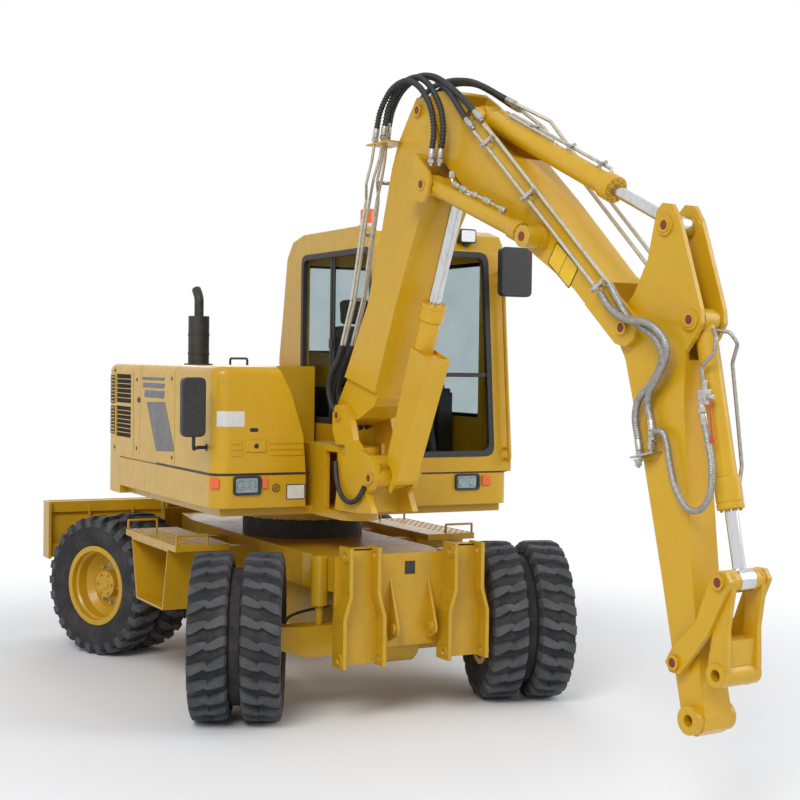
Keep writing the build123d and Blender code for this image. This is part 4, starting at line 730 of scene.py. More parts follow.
LUG_MID = 0.352
WEB_Y = -1.648
WEB = ((-0.119, 0.368), (0.119, 0.368), (0.119, 0.658), (0.081, 0.786), (0.081, 1.058), (-0.081, 1.058),
       (-0.081, 0.786), (-0.119, 0.658))
WEBS = Piece("lug_webs", "undercarriage", "paint_low_shaded", 0.002)
for mid in (-LUG_MID, LUG_MID):
    WEBS.slab(front_at(WEB_Y), [(mid + x, z) for x, z in WEB], 0, -0.016)
    WEBS.box((mid - 0.081, WEB_Y, 1.045), (mid + 0.081, -1.583, 1.06))
WEBS.done()
RIB = ((1.584, 0.856), (1.69, 0.59), (1.7, 0.56), (1.69, 0.53), (1.584, 0.478))
RIBS = Piece("plate_ribs", "undercarriage", "paint_low_shaded", 0.002)
for x in (-0.109, 0.149):
    RIBS.slab(right_at(x - 0.008), RIB, 0, -0.016)
    RIBS.rod((x - 0.026, WEB_Y, 0.566), (x + 0.018, WEB_Y, 0.566), 0.032, 32)
RIBS.done()

BOLTS = Piece("ring_bolts", "undercarriage", "fitting_steel", 0.0008)
low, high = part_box("slew_ring_base")
ring_r = (high[0] - low[0]) / 2 - 0.022
for c, s in circle(28):
    BOLTS.nut((ring_r * c, ring_r * s, high[2] - 0.0005), UP, 0.011, 0.006)
BOLTS.done()

STUD_Z = 0.9745
STUDS = 14
for node, side in (("step_right", -1), ("step_left", 1)):
    low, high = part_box(node)
    treads = Piece("tread_" + node, "undercarriage", "paint_low_shaded", 0.001)
    for row in range(4):
        for k in range(STUDS):
            y = low[1] + 0.05 + (high[1] - low[1] - 0.1) * k / (STUDS - 1)
            x = side * (1.075 - 0.05 * row)
            treads.lathe((x, y, STUD_Z), UP, [(0, 0.014), (0.004, 0.011), (0.004, 0.006)], 12)
    treads.done()

# Grease and brake lines on the axles
AXLE_LINE = ((0.2, 1.13, 0.7), (0.33, 1.14, 0.64), (0.48, 1.165, 0.625), (0.6, 1.19, 0.6),
             (0.64, 1.205, 0.56))
LINES = Piece("axle_lines", "undercarriage", "rubber")
for sy in (-1, 1):
    for sx in (-1, 1):
        LINES.tube(flowing([(sx * x, sy * y, z) for x, y, z in AXLE_LINE]), 0.009)
LINES.done()

# Upper structure, right side
SIDE_X = -1.03
FRONT_Y = -1.0
PROUD = 0.0012
right_side = right_at(SIDE_X)
cover_front = front_at(FRONT_Y)
PATCH = ((-0.333, 1.87), (0.053, 1.882), (0.245, 1.59), (0.245, 1.562), (-0.127, 1.545))
Piece("side_patch", "upper", "patch_dark").slab(right_side, PATCH, 0, PROUD).done()
STRIPES = Piece("side_stripes", "upper", "stripe_blue")
for rear, bottom, top in ((0.39, 1.903, 1.953), (0.425, 1.969, 2.003), (0.45, 2.021, 2.042)):
    outline = [(-rear, bottom), (0.03, bottom), (0.05, top), (0.01 - rear, top)]
    STRIPES.slab(right_side, outline, 0, PROUD)
STRIPES.done()

TRIM = Piece("hood_trim", "upper", "black_paint", 0.0008)
TRIM.slab(right_side, block(-0.638, 1.48, -0.633, 2.075), 0, 0.0006)
TRIM.slab(right_side, block(-0.545, 1.862, -0.48, 1.896, 0.012), 0, 0.003)
LOCKS = ((-0.56, 1.54), (-0.56, 2.02), (0.2, 1.52), (0.19, 2.04), (-1.09, 1.52), (-1.09, 2.08))
for u, v in LOCKS:
    TRIM.stud(right_side(u, v, -0.001), right_side.out, 0.013, 0.003, 0.003, 20)
TRIM.done()

# Mesh behind the grilles and the two-panel grille round the rear corner
TO_RIGHT = Vector((-1, 0, 0))
TO_FRONT = Vector((0, -1, 0))


def corner_line(middle, radius, first, last, steps):
    """Line round an upright corner between two angles, as places and outward directions."""
    made = []
    for k in range(steps + 1):
        angle = radians(first + (last - first) * k / steps)
        out = Vector((cos(angle), sin(angle), 0))
        made.append((Vector(middle) + out * radius, out))
    return made


MESH = Piece("grille_mesh", "upper", "dark_steel")
SLATS = Piece("corner_slats", "upper", "paint_yellow", 0.0006)
rear_line = [(Vector((SIDE_X, 1.085, 0)), TO_RIGHT)] + corner_line((-0.74, 1.15, 0), 0.29, 180, 146, 8)
for low_z, high_z in ((1.615, 1.82), (1.84, 2.045)):
    MESH.wrap(rear_line, low_z, high_z, -0.004, 0.001)
    for k in range(8):
        z = low_z + 0.014 + (high_z - low_z - 0.028) * k / 7
        SLATS.wrap(rear_line, z - 0.004, z + 0.004, 0.0, 0.0065)
GRILLE_REAR = -1.06
GRILLE_FRONT = -0.7
GAPS = 18
for low_z, high_z in ((1.85, 2.055), (1.605, 1.825)):
    MESH.slab(right_side, block(GRILLE_REAR, low_z, GRILLE_FRONT, high_z), -0.0135, 0.0035)
    for k in range(1, GAPS):
        u = GRILLE_FRONT + (GRILLE_REAR - GRILLE_FRONT) * k / GAPS
        MESH.slab(right_side, block(u - 0.002, low_z, u + 0.002, high_z), -0.01, 0.005)
MESH.done()
SLATS.done()

# Front of the tank cover: blank plate round the corner, oval slot, latch, pressed ribs
ROUND_AT = (-0.93, -0.9, 0)
ROUND_R = 0.1
plate_line = corner_line(ROUND_AT, ROUND_R, 222, 270, 8) + [(Vector((-0.835, FRONT_Y, 0)), TO_FRONT)]
Piece("cover_plate", "upper", "plate_white").wrap(plate_line, 1.757, 1.852, 0.0, 0.0015).done()

PRESSED = Piece("cover_ribs", "upper", "paint_yellow", 0.002)
for u0, u1 in ((-0.925, -0.845), (-0.666, -0.44)):
    for v in (1.575, 1.612, 1.649):
        PRESSED.slab(cover_front, block(u0, v, u1, v + 0.024, 0.011), -0.001, 0.006)
PRESSED.slab(cover_front, block(-0.825, 1.6, -0.691, 1.675, 0.012), -0.001, 0.01).done()
SMALL = Piece("cover_latch", "upper", "black_paint", 0.0006)
SMALL.slab(cover_front, block(-0.8, 1.724, -0.744, 1.748, 0.0115), 0, 0.0015)
seam = [(Vector((SIDE_X, 0.12, 0)), TO_RIGHT)] + corner_line(ROUND_AT, ROUND_R, 180, 270, 9)
seam.append((Vector((-0.395, FRONT_Y, 0)), TO_FRONT))
SMALL.wrap(seam, 1.456, 1.47, 0.0, 0.001)
SMALL.lathe(cover_front(-0.758, 1.637, 0.0085), cover_front.out, [(0, 0.016), (0.003, 0.015)], 24).done()


FLUTES = 16


def headlamp(name, place, u0, u1, v0, v1):
    """Lamp in a black frame with a plain lens over a bright reflector with upright flutes."""
    inner = block(u0 + 0.016, v0 + 0.014, u1 - 0.016, v1 - 0.014, 0.014)
    frame_piece = Piece(name + "_frame", "upper", "dark_plastic", 0.002)
    frame_piece.rim(place, block(u0, v0, u1, v1, 0.024), inner, -0.002, 0.016).done()
    back = Piece(name + "_reflector", "upper", "lamp_silver")
    back.slab(place, inner, -0.001, 0.003)
    for share in (0.3, 0.72):
        middle = place(u0 + (u1 - u0) * share, (v0 + v1) / 2, 0.002)
        back.lathe(middle, place.out, [(0, 0.03), (0.004, 0.027), (0.004, 0.022), (0.0015, 0.006)], 28)
        back.lathe(middle, place.out, [(0, 0.006), (0.008, 0.005)], 12)
    for k in range(1, FLUTES):
        u = u0 + 0.018 + (u1 - u0 - 0.036) * k / FLUTES
        back.slab(place, block(u - 0.0012, v0 + 0.016, u + 0.0012, v1 - 0.016), 0.002, 0.0025)
    back.done()
    Piece(name + "_lens", "upper", "glass").slab(place, inner, 0.0105, 0.002).done()


CAB_FRONT_Y = -1.22
cab_front = front_at(CAB_FRONT_Y)
headlamp("headlamp_right", cover_front, -0.907, -0.723, 1.335, 1.453)
headlamp("headlamp_left", cab_front, 0.531, 0.711, 1.345, 1.452)

SIGNALS = Piece("turn_signals", "upper", "amber_lens", 0.003)
SIGNALS.slab(cover_front, block(-0.715, 1.372, -0.68, 1.44, 0.008), -0.001, 0.014)
SIGNALS.slab(cab_front, block(0.73, 1.372, 0.79, 1.44, 0.01), -0.001, 0.014)
SIGNALS.wrap(corner_line(ROUND_AT, ROUND_R, 198, 234, 6), 1.375, 1.44, 0.0, 0.012).done()

HORN_AT = (-0.621, 1.374)
HORN = Piece("horn_grille", "upper", "black_paint", 0.0006)
HORN.stud(cover_front(*HORN_AT, -0.001), cover_front.out, 0.027, 0.004, 0.002, 32).done()
RINGS = Piece("horn_rings", "upper", "paint_yellow")
for radius in (0.008, 0.0145, 0.021):
    outer, inner = (disc(*HORN_AT, radius + more, 24) for more in (0.0016, -0.0016))
    RINGS.rim(cover_front, outer, inner, 0.0035, 0.003)
RINGS.done()
TAG = Piece("front_tag", "upper", "plate_white", 0.0006)
TAG.slab(cover_front, block(-0.547, 1.304, -0.43, 1.39, 0.005), 0, 0.0015).done()
TAG_RIM = Piece("front_tag_rim", "upper", "patch_dark")
outer, inner = block(-0.553, 1.298, -0.424, 1.396, 0.007), block(-0.546, 1.305, -0.431, 1.389, 0.004)
TAG_RIM.rim(cover_front, outer, inner, 0, 0.002).done()

# Rear lamps on the counterweight's back
rear_face = plane((0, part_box("counterweight")[1][1], 0), (-1, 0, 0))
for u, name in ((0.6, "right"), (-0.6, "left")):
    tail = Piece("tail_lamp_" + name, "upper", "lever_red", 0.002)
    tail.slab(rear_face, block(u - 0.075, 1.34, u + 0.075, 1.4, 0.01), -0.001, 0.012).done()

# Hood top: grab bar and the rings of the exhaust
TOP_Z = 2.13
EXHAUST_AT = (-0.7, 0.22)
RAILS = Piece("hood_rails", "upper", "black_paint")
bar = [(-0.15, 0.7, -0.002), (-0.15, 0.7, 0.05), (-0.15, 1.05, 0.05), (-0.15, 1.05, -0.002)]
RAILS.tube(bent([(x, y, TOP_Z + z) for x, y, z in bar], 0.03), 0.009)
RAILS.lathe((*EXHAUST_AT, TOP_Z - 0.001), UP, [(0, 0.1), (0.01, 0.098), (0.012, 0.078)], 40)
for z in (2.2, 2.33):
    ring = [(0, 0.0722), (0.001, 0.0745), (0.016, 0.0745), (0.017, 0.0722)]
    RAILS.lathe((*EXHAUST_AT, z), UP, ring, 40)
RAILS.done()

# Cab: window seals with round corners, bars, wiper and handrail
CAB_MID = 0.475
SLOPE_Z = 1.572
SLOPE_RUN = 0.12
SLOPE_RISE = 1.328
cab_right = right_at(0)
cab_left = plane((0.95, 0, 0), (0, 1, 0))
cab_slope = plane((CAB_MID, CAB_FRONT_Y, SLOPE_Z), (1, 0, 0), (0, SLOPE_RUN, SLOPE_RISE))
WINDOWS = (
    # piece, body, plane, corners
    ("seal_right", "upper", cab_right, [(-0.05, 1.76), (1.11, 1.76), (1.015, 2.89), (-0.05, 2.89)]),
    ("seal_front", "upper", cab_slope, block(-0.335, 0.003, 0.335, 1.313)),
    ("seal_door", "door", cab_left, block(-0.884, 1.8, 0.019, 2.849)),
)
for name, body, place, corners in WINDOWS:
    outer, inner = rounded(inset(corners, -0.014), 0.075), rounded(inset(corners, 0.024), 0.06)
    Piece(name, body, "rubber", 0.002).rim(place, outer, inner, 0.004, -0.034).done()

BARS = Piece("window_bars", "upper", "rubber", 0.001)
for u0, u1 in ((0.405, 0.43), (0.452, 0.47)):
    BARS.slab(cab_right, block(u0, 1.775, u1, 2.875), -0.018, 0.012)
BARS.slab(cab_right, block(0.412, 2.25, 0.462, 2.32, 0.008), -0.006, 0.01)
BARS.slab(cab_slope, block(-0.325, 0.508, 0.325, 0.534), -0.022, 0.018).done()

WIPER = Piece("wiper", "upper", "black_paint", 0.0006)
WIPER.lathe(cab_slope(-0.25, -0.02), cab_slope.out, [(0, 0.02), (0.016, 0.018), (0.022, 0.012)], 20)
wiper_arm = ((-0.25, -0.02, 0.018), (-0.23, 0.3, 0.02), (-0.215, 0.56, 0.012))
WIPER.tube([cab_slope(*p) for p in wiper_arm], 0.006, 10)
WIPER.box(cab_slope(-0.222, 0.3, 0.002), cab_slope(-0.212, 0.86, 0.01)).done()

RAIL = Piece("cab_handrail", "upper", "paint_yellow")
for foot, bend in ((1.61, 0.06), (2.685, -0.06)):
    y = CAB_FRONT_Y + SLOPE_RUN * max(0.0, foot - SLOPE_Z) / SLOPE_RISE
    path = [(0.9, y + 0.01, foot), (0.9, y - 0.055, foot), (0.9, y - 0.055, foot + bend)]
    RAIL.tube(bent(path, 0.02), 0.011)
long_bar = [(0.905, CAB_FRONT_Y - 0.01, 1.54), (0.905, CAB_FRONT_Y - 0.06, 1.54), (0.9, -1.165, 2.76),
            (0.9, -1.105, 2.765)]
RAIL.tube(bent(long_bar, 0.035), 0.013).done()

CAB_TRIM = Piece("cab_trim", "upper", "black_paint", 0.001)
CAB_TRIM.slab(cab_front, block(0.03, 1.4585, 0.92, 1.4655), 0, 0.0012)
CAB_TRIM.slab(cab_right, block(-0.3, 1.75, -0.22, 1.8, 0.012), 0, 0.002).done()
HANDLE = Piece("door_handle", "door", "black_paint", 0.003)
HANDLE.slab(cab_left, block(-0.9, 1.69, -0.76, 1.75, 0.014), -0.001, 0.012)
HANDLE.slab(cab_left, block(-0.88, 1.712, -0.79, 1.732), 0.01, 0.014).done()

# Rear pane, bent with the cab's back
PANE = Piece("rear_pane", "upper", "glass")
PANE.skin([
    [(0.141, y, z), (0.809, y, z), (0.809, y + 0.006, z), (0.141, y + 0.006, z)]
    for y, z in ((0.418, 2.232), (0.375, 2.445), (0.304, 2.852))
]).done()
upward = [(0.441, 2.232), (0.398, 2.445), (0.327, 2.85)]
rear_seal = [(0.475, *upward[0])] + [(0.148, y, z) for y, z in upward]
rear_seal += [(0.802, y, z) for y, z in upward[::-1]] + [(0.47, *upward[0])]
Piece("seal_rear", "upper", "rubber").tube(bent(rear_seal, 0.05), 0.013).done()

# Work lamp on the roof's front edge
LAMP = Piece("work_lamp", "upper", "black_paint", 0.003)
LAMP.box((0.65, -1.085, 2.905), (0.68, -1.045, 2.96))
LAMP.slab(front_at(-1.12), block(0.603, 2.948, 0.723, 3.04, 0.016), 0, -0.055).done()
LAMP_GLASS = Piece("work_lamp_glass", "upper", "lamp_silver", 0.0005)
LAMP_GLASS.slab(front_at(-1.1225), block(0.612, 2.957, 0.714, 3.031, 0.012), 0, -0.004).done()

# Beacon: ribbed lens on a pale foot
low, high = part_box("beacon")
beacon_at = ((low[0] + high[0]) / 2, (low[1] + high[1]) / 2, 0)
LENS_Z = 3.062
LENS_RIBS = 14
lens_profile = [
    (LENS_Z + (high[2] - LENS_Z - 0.01) * k / (LENS_RIBS - 1), 0.0495 if k % 2 else 0.0475)
    for k in range(LENS_RIBS)
] + [(high[2] - 0.003, 0.044), (high[2], 0.034)]
LENS = Piece("beacon_lens", "upper", "amber_lens")
LENS.lathe(beacon_at, UP, lens_profile, 40).done(replaces=["beacon"])
FOOT_RING = Piece("beacon_foot", "upper", "plate_white", 0.001)
FOOT_RING.lathe(beacon_at, UP, [(3.012, 0.062), (3.05, 0.061), (3.056, 0.055), (3.064, 0.054)], 36).done()


def mirror(name, node, low, high, arm):
    """Rounded black housing with a bright pane behind a lip, on its bent bar."""
    (u0, y0, v0), (u1, y1, v1) = low, high
    housing = Piece(name + "_housing", "upper", "dark_plastic", bevel=0.01, segments=4)
    housing.slab(front_at(y0 + 0.004), block(u0, v0, u1, v1, 0.04), 0, 0.008 - (y1 - y0))
    housing.done(replaces=[node])
    pane = Piece(name + "_pane", "upper", "lamp_silver")
    inner = block(u0 + 0.018, v0 + 0.018, u1 - 0.018, v1 - 0.018, 0.026)
    pane.slab(front_at(y1 - 0.005), inner, 0, -0.0025).done()
    bar = Piece(name + "_bar", "upper", "black_paint")
    bar.tube(bent(arm, 0.03), 0.011)
    foot = [(-0.01, 0.024), (0.003, 0.024), (0.006, 0.018)]
    bar.lathe(arm[0], Vector(arm[1]) - Vector(arm[0]), foot, 20).done()


mirror("mirror_r", "mirror_right", (-1.262, -1.075, 1.7), (-1.11, -1.015, 2.06),
       [(-1.029, -0.86, 1.625), (-1.09, -0.86, 1.625), (-1.18, -1.045, 1.625), (-1.18, -1.045, 1.706)])
mirror("mirror_l", "mirror_left", (0.795, -1.33, 2.6), (1.03, -1.265, 2.92),
       [(0.95, -1.085, 2.7), (1.0, -1.085, 2.7), (1.0, -1.262, 2.7)])


# Seat: bellows, padded cushion, backrest and headrest, armrests
FLOOR_Z = 1.522
PAD_SEAM = 0.667


def cab(x, y, z):
    """Place in the cab, across from its middle and up from its floor."""
    return (CAB_MID + x, y, FLOOR_Z + z)


BASE = Piece("seat_base", "upper", "dark_plastic", 0.004)
BASE.box(cab(-0.15, -0.42, 0), cab(0.15, -0.06, 0.03))
for k in range(5):
    wide = 0.14 if k % 2 else 0.118
    z = 0.03 + 0.03 * k
    BASE.box(cab(-wide, -0.24 - wide, z), cab(wide, -0.24 + wide, z + 0.03))
BASE.box(cab(-0.2, -0.45, 0.18), cab(0.2, -0.03, 0.212))
for x in (-0.268, 0.268):
    BASE.box(cab(x - 0.025, -0.38, 0.47), cab(x + 0.025, 0.01, 0.515))
    BASE.box(cab(x - 0.012, -0.04, 0.25), cab(x + 0.012, 0.0, 0.48))
BASE.done(replaces=["operator_seat"])


def cushion(name, centre, size, tilt, crown):
    """Crowned pad: a divided block whose faces swell and whose edges pull in."""
    piece = Piece(name, "upper", "seat_fabric")
    bmesh.ops.create_cube(piece.bm, size=2.0)
    bmesh.ops.subdivide_edges(piece.bm, edges=piece.bm.edges[:], cuts=5, use_grid_fill=True)
    turn = Matrix.Rotation(radians(tilt), 3, "X")
    for v in piece.bm.verts:
        x, y, z = v.co
        flat = abs(z) > 0.99
        swell = 1 + crown * (1 - x * x) * (1 - y * y) * flat
        groove = 1 - 0.05 * (flat and abs(abs(x) - PAD_SEAM) < 0.02)
        waist = 1 - 0.05 * abs(z) ** 2
        shape = (x * size[0] / 2 * waist, y * size[1] / 2 * waist, z * size[2] / 2 * swell * groove)
        v.co = Vector(centre) + turn @ Vector(shape)
    made = piece.done(replaces=["operator_seat"], soft=2)


cushion("seat_cushion", cab(0, -0.25, 0.275), (0.5, 0.5, 0.12), -4, 0.25)
cushion("seat_backrest", cab(0, 0.045, 0.62), (0.45, 0.56, 0.11), 80, 0.3)
cushion("seat_headrest", cab(0, 0.118, 1.0), (0.27, 0.17, 0.095), 82, 0.25)


# Consoles, levers, steering column with its wheel, pedals
def slope(x, half, y0, z0, y1, z1):
    """Four corners of a plate that leans to the front or the back."""
    return [cab(x - half, y0, z0), cab(x + half, y0, z0), cab(x + half, y1, z1), cab(x - half, y1, z1)]


BOOT = [(0, 0.042), (0.012, 0.034), (0.02, 0.037), (0.034, 0.026), (0.042, 0.029), (0.06, 0.014)]
KNOB = [(0, 0.012), (0.012, 0.021), (0.05, 0.023), (0.075, 0.019), (0.082, 0.01)]
DESK = Piece("cab_consoles", "upper", "dark_plastic", 0.008)
for x in (-0.345, 0.345):
    DESK.box(cab(x - 0.055, -0.56, 0), cab(x + 0.055, 0.04, 0.44))
    DESK.box(cab(x - 0.05, -0.54, 0.44), cab(x + 0.05, 0.02, 0.468))
    DESK.lathe(cab(x, -0.47, 0.465), (0, -0.05, 1), BOOT, 24)
    DESK.tube(flowing([cab(x, -0.472, 0.5), cab(x, -0.48, 0.57), cab(x, -0.487, 0.6)]), 0.007, 10)
    DESK.lathe(cab(x, -0.486, 0.59), (0, -0.12, 1), KNOB, 20)
COLUMN = (0, 0.145, 0.6)
DESK.box(cab(-0.06, -1.06, 0), cab(0.06, -0.95, 0.06))
DESK.lathe(cab(0, -1.005, 0.04), COLUMN, [(0, 0.04), (0.3, 0.03), (0.56, 0.034), (0.59, 0.026)], 28)
DESK.prism(slope(0, 0.085, -0.985, 0.47, -0.905, 0.5), (0, -0.03, 0.08))
for x in (-0.13, 0.13):
    DESK.prism(slope(x, 0.04, -0.96, 0.03, -0.78, 0.004), (0, 0.004, 0.018))
DESK.done(replaces=["consoles"])
wheel_up = Vector(COLUMN).normalized()
wheel_at = Vector(cab(0, -0.862, 0.628))
wheel_u = Vector((1, 0, 0))
wheel_v = wheel_up.cross(wheel_u)
grip = [wheel_at + (wheel_u * c + wheel_v * s) * 0.168 for c, s in circle(48)]
WHEEL = Piece("steering_wheel", "upper", "rubber")
WHEEL.tube(grip + grip[:1], 0.0125, 12)
for c, s in circle(3, 0.75):
    WHEEL.rod(wheel_at - wheel_up * 0.02, wheel_at + (wheel_u * c + wheel_v * s) * 0.165, 0.009, 10)
HUB = [(0, 0.02), (0.02, 0.036), (0.034, 0.034), (0.038, 0.024)]
WHEEL.lathe(wheel_at - wheel_up * 0.04, wheel_up, HUB, 28)
WHEEL.done()

# Boom: pin heads, where each pivot comes out at the sides
PIN_REACH = 0.09
PIVOTS = [
    # place, nodes that may carry the head
    (FOOT, ("swing_post", "first_boom")), (LIFT_BASE, ("swing_post",)), (LIFT_TOP, ("first_boom",)),
    (HINGE, ("first_boom", "second_boom")), (ADJUST_END, ("second_boom",)), (ARM_CYL_BASE, ("second_boom",)),
    (ARM_PIVOT, ("second_boom", "arm")), (ARM_CYL_END, ("arm",)), (BUCKET_CYL_BASE, ("arm",)),
    (LINK_ARM, ("arm", "side_links")), (LINK_TOP, ("side_links", "tipping_link")),
]
caps = {}
for place, carriers in PIVOTS:
    for way in (-1, 1):
        faces = [(s * way, n) for n in carriers for gap, s in corners_near(n, place) if gap < PIN_REACH]
        side, body = max(faces)
        aim = SIDE * way
        face = plane(boom(*place, way * side), UP.cross(aim))
        if body not in caps:
            caps[body] = (
                Piece("pin_faces_" + body, body, "pin_red", 0.0006),
                Piece("pin_rings_" + body, body, "paint_yellow", 0.0008),
            )
        heads, rings = caps[body]
        heads.stud(face(0, 0, -0.001), aim, 0.021, 0.0035, 0.003)
        rings.rim(face, disc(0, 0, 0.034, 28), disc(0, 0, 0.022, 28), -0.001, 0.0065)
for pair in caps.values():
    for piece in pair:
        piece.done()


# Cylinder heads: a wider collar with a ring of bolts on its face
def barrel_lines(node, base, end, paired=False):
    """Middle lines of a barrel node: start, direction, distance to the head, radius there."""
    start = boom(*base)
    aim = (boom(*end) - start).normalized()
    far = reach_along(node, start, aim)
    head = [v.co - start for v in nodes[node].data.vertices if far - (v.co - start).dot(aim) < 0.02]
    made = []
    for way in ((-1, 1) if paired else (0,)):
        sides = [off.dot(SIDE) for off in head if way == 0 or off.dot(SIDE) * way > 0]
        middle = (min(sides) + max(sides)) / 2
        made.append((start + SIDE * middle, aim, far, (max(sides) - min(sides)) / 2))
    return made


HEADS = [
    # node, base, end, whether there are two, length of the collar, how far it stands out, bolts
    ("lift_barrel", LIFT_BASE, LIFT_TOP, False, 0.11, 0.01, 8),
    ("adjust_barrels", LIFT_TOP, ADJUST_END, True, 0.08, 0.009, 8),
    ("arm_barrel", ARM_CYL_BASE, ARM_CYL_END, False, 0.09, 0.012, 10),
    ("bucket_barrel", BUCKET_CYL_BASE, LINK_TOP, False, 0.15, 0.012, 8),
]
for node, base, end, paired, length, stand, bolts in HEADS:
    collar = Piece("head_collar_" + node, node, "paint_yellow", 0.001)
    screws = Piece("head_bolts_" + node, node, "paint_yellow", 0.0005)
    for start, aim, far, radius in barrel_lines(node, base, end, paired):
        wide = radius + stand
        collar.lathe(start, aim, [
            (far - length, radius + 0.0005), (far - length + 0.012, wide), (far - 0.034, wide),
            (far - 0.032, wide - 0.003), (far - 0.028, wide - 0.003), (far - 0.026, wide),
            (far - 0.0005, wide),
        ], 44)
        across = aim.cross(SIDE)
        for c, s in circle(bolts, 0.5):
            screws.nut(start + aim * far + (SIDE * c + across * s) * (radius - 0.004), aim, 0.0075, 0.008)
    collar.done()
    screws.done()


# Hard lines and hoses on the boom
def lines(name, body, routes, material="pipe_steel", radius=0.01, bend=0.05):
    piece = Piece(name, body, material)
    for route in routes:
        piece.tube(bent([boom(*p) for p in route], bend), radius, 16)
    piece.done()


def hoses(name, body, routes, material, radius, ribs=0.0, pitch=0.012, between=None):
    piece = Piece(name, body, material)
    for route in routes:
        piece.tube(flowing([boom(*p) for p in route]), radius, 16, ribs, pitch)
    piece.done(between=between)


def fitting(piece, at, aim, radius=0.0165):
    """Ferrule with a six-sided nut at each hose end."""
    ferrule = [(0, radius), (0.004, radius * 1.12), (0.05, radius * 1.12), (0.054, radius * 0.8)]
    piece.lathe(at, aim, ferrule, 20)
    piece.lathe(at, aim, [(0.054, radius * 1.25), (0.078, radius * 1.25)], 6)
    piece.lathe(at, aim, [(0.078, radius * 0.75), (0.094, radius * 0.75)], 16)


def clamp(piece, at, across, out, wide):
    """Bar over the lines with a screw at each end and a stand below."""
    across, out = across.normalized(), out.normalized()
    third = out.cross(across)
    square = ((-1, -1), (1, -1), (1, 1), (-1, 1))
    for half, tall, depth in ((wide, 0.011, 0.006), (0.008, 0.008, -0.034)):
        piece.prism([at + across * a * half + third * b * tall for a, b in square], out * depth)
    for way in (-0.8, 0.8):
        piece.nut(at + across * wide * way + out * 0.006, out, 0.007, 0.007)


OVER_HINGE = ("second_boom", boom(0.76, 3.6), boom(0.96, 3.6))
HEAD_RIGHT = [
    [(0.508, 3.545, -0.152), (0.545, 3.625, -0.152), (0.64, 3.715, -0.152), (0.8, 3.764, -0.152),
     (0.96, 3.742, -0.15), (1.11, 3.664, -0.148), (1.245, 3.57, -0.146), (1.325, 3.505, -0.144)],
    [(0.462, 3.53, -0.113), (0.505, 3.63, -0.114), (0.61, 3.722, -0.118), (0.77, 3.766, -0.124),
     (0.94, 3.738, -0.134), (1.1, 3.64, -0.15), (1.225, 3.53, -0.168), (1.29, 3.465, -0.172)],
]
HEAD_SHORT = [
    [(f, h, -0.19) for f, h in (
        (0.535, 3.52), (0.572, 3.62), (0.68, 3.725), (0.84, 3.752), (0.97, 3.69), (1.065, 3.575),
        (1.1, 3.48), (1.105, 3.4), (1.09, 3.33))],
    [(f, h, -0.226) for f, h in (
        (0.505, 3.505), (0.545, 3.605), (0.65, 3.705), (0.8, 3.735), (0.93, 3.68), (1.025, 3.575),
        (1.062, 3.48), (1.068, 3.4), (1.055, 3.33))],
]
HEAD_LEFT = [
    [(0.395, 3.455, 0.062), (0.47, 3.64, 0.064), (0.62, 3.745, 0.066), (0.8, 3.765, 0.068),
     (0.98, 3.74, 0.07), (1.12, 3.69, 0.07), (1.25, 3.628, 0.07), (1.33, 3.59, 0.07)],
    [(0.395, 3.45, 0.112), (0.48, 3.64, 0.114), (0.63, 3.735, 0.116), (0.8, 3.755, 0.116),
     (0.98, 3.728, 0.116), (1.12, 3.672, 0.112), (1.25, 3.606, 0.106), (1.335, 3.56, 0.104)],
]
hoses("head_hoses_right", "first_boom", HEAD_RIGHT, "rubber", 0.0155, 0.0016, between=OVER_HINGE)
hoses("head_hoses_short", "first_boom", HEAD_SHORT, "rubber", 0.014, 0.0036, 0.019, OVER_HINGE)
hoses("head_hoses_left", "first_boom", HEAD_LEFT, "rubber", 0.0155, 0.0016, between=OVER_HINGE)

lines("first_boom_lines", "first_boom", [
    [(0.06, 2.262, -0.095), (0.177, 2.535, -0.095), (0.268, 2.917, -0.095), (0.318, 3.12, -0.095),
     (0.385, 3.215, -0.112), (0.42, 3.33, -0.112), (0.44, 3.44, -0.113)],
    [(0.03, 2.262, -0.055), (0.14, 2.535, -0.055), (0.232, 2.917, -0.055), (0.282, 3.12, -0.06),
     (0.4, 3.22, -0.15), (0.455, 3.35, -0.152), (0.484, 3.455, -0.152)],
    [(0.02, 2.262, 0.06), (0.138, 2.535, 0.06), (0.23, 2.917, 0.06), (0.282, 3.12, 0.06),
     (0.325, 3.21, 0.06), (0.372, 3.365, 0.062)],
    [(0.03, 2.262, 0.1), (0.14, 2.535, 0.1), (0.232, 2.917, 0.1), (0.284, 3.12, 0.105),
     (0.325, 3.2, 0.11), (0.372, 3.36, 0.112)],
    [(0.04, 2.262, -0.132), (0.15, 2.535, -0.132), (0.242, 2.917, -0.132), (0.3, 3.12, -0.134),
     (0.42, 3.23, -0.188), (0.485, 3.34, -0.189), (0.512, 3.43, -0.19)],
    [(0.06, 2.262, -0.168), (0.17, 2.535, -0.168), (0.262, 2.917, -0.168), (0.32, 3.12, -0.172),
     (0.4, 3.2, -0.225), (0.455, 3.32, -0.226), (0.482, 3.415, -0.226)],
], radius=0.009)
lines("second_boom_lines", "second_boom", [
    [(1.405, 3.425, -0.144), (1.523, 3.331, -0.142), (2.05, 2.86, -0.138), (2.398, 2.548, -0.136)],
    [(1.36, 3.392, -0.172), (1.47, 3.3, -0.168), (2.01, 2.818, -0.16), (2.358, 2.506, -0.156)],
])
lines("second_boom_lines_left", "second_boom", [
    [(1.42, 3.52, 0.104), (1.56, 3.42, 0.136), (1.825, 3.16, 0.138), (2.38, 2.64, 0.138)],
    [(1.4, 3.56, 0.07), (1.59, 3.45, 0.16), (1.86, 3.185, 0.16), (2.41, 2.67, 0.16)],
])
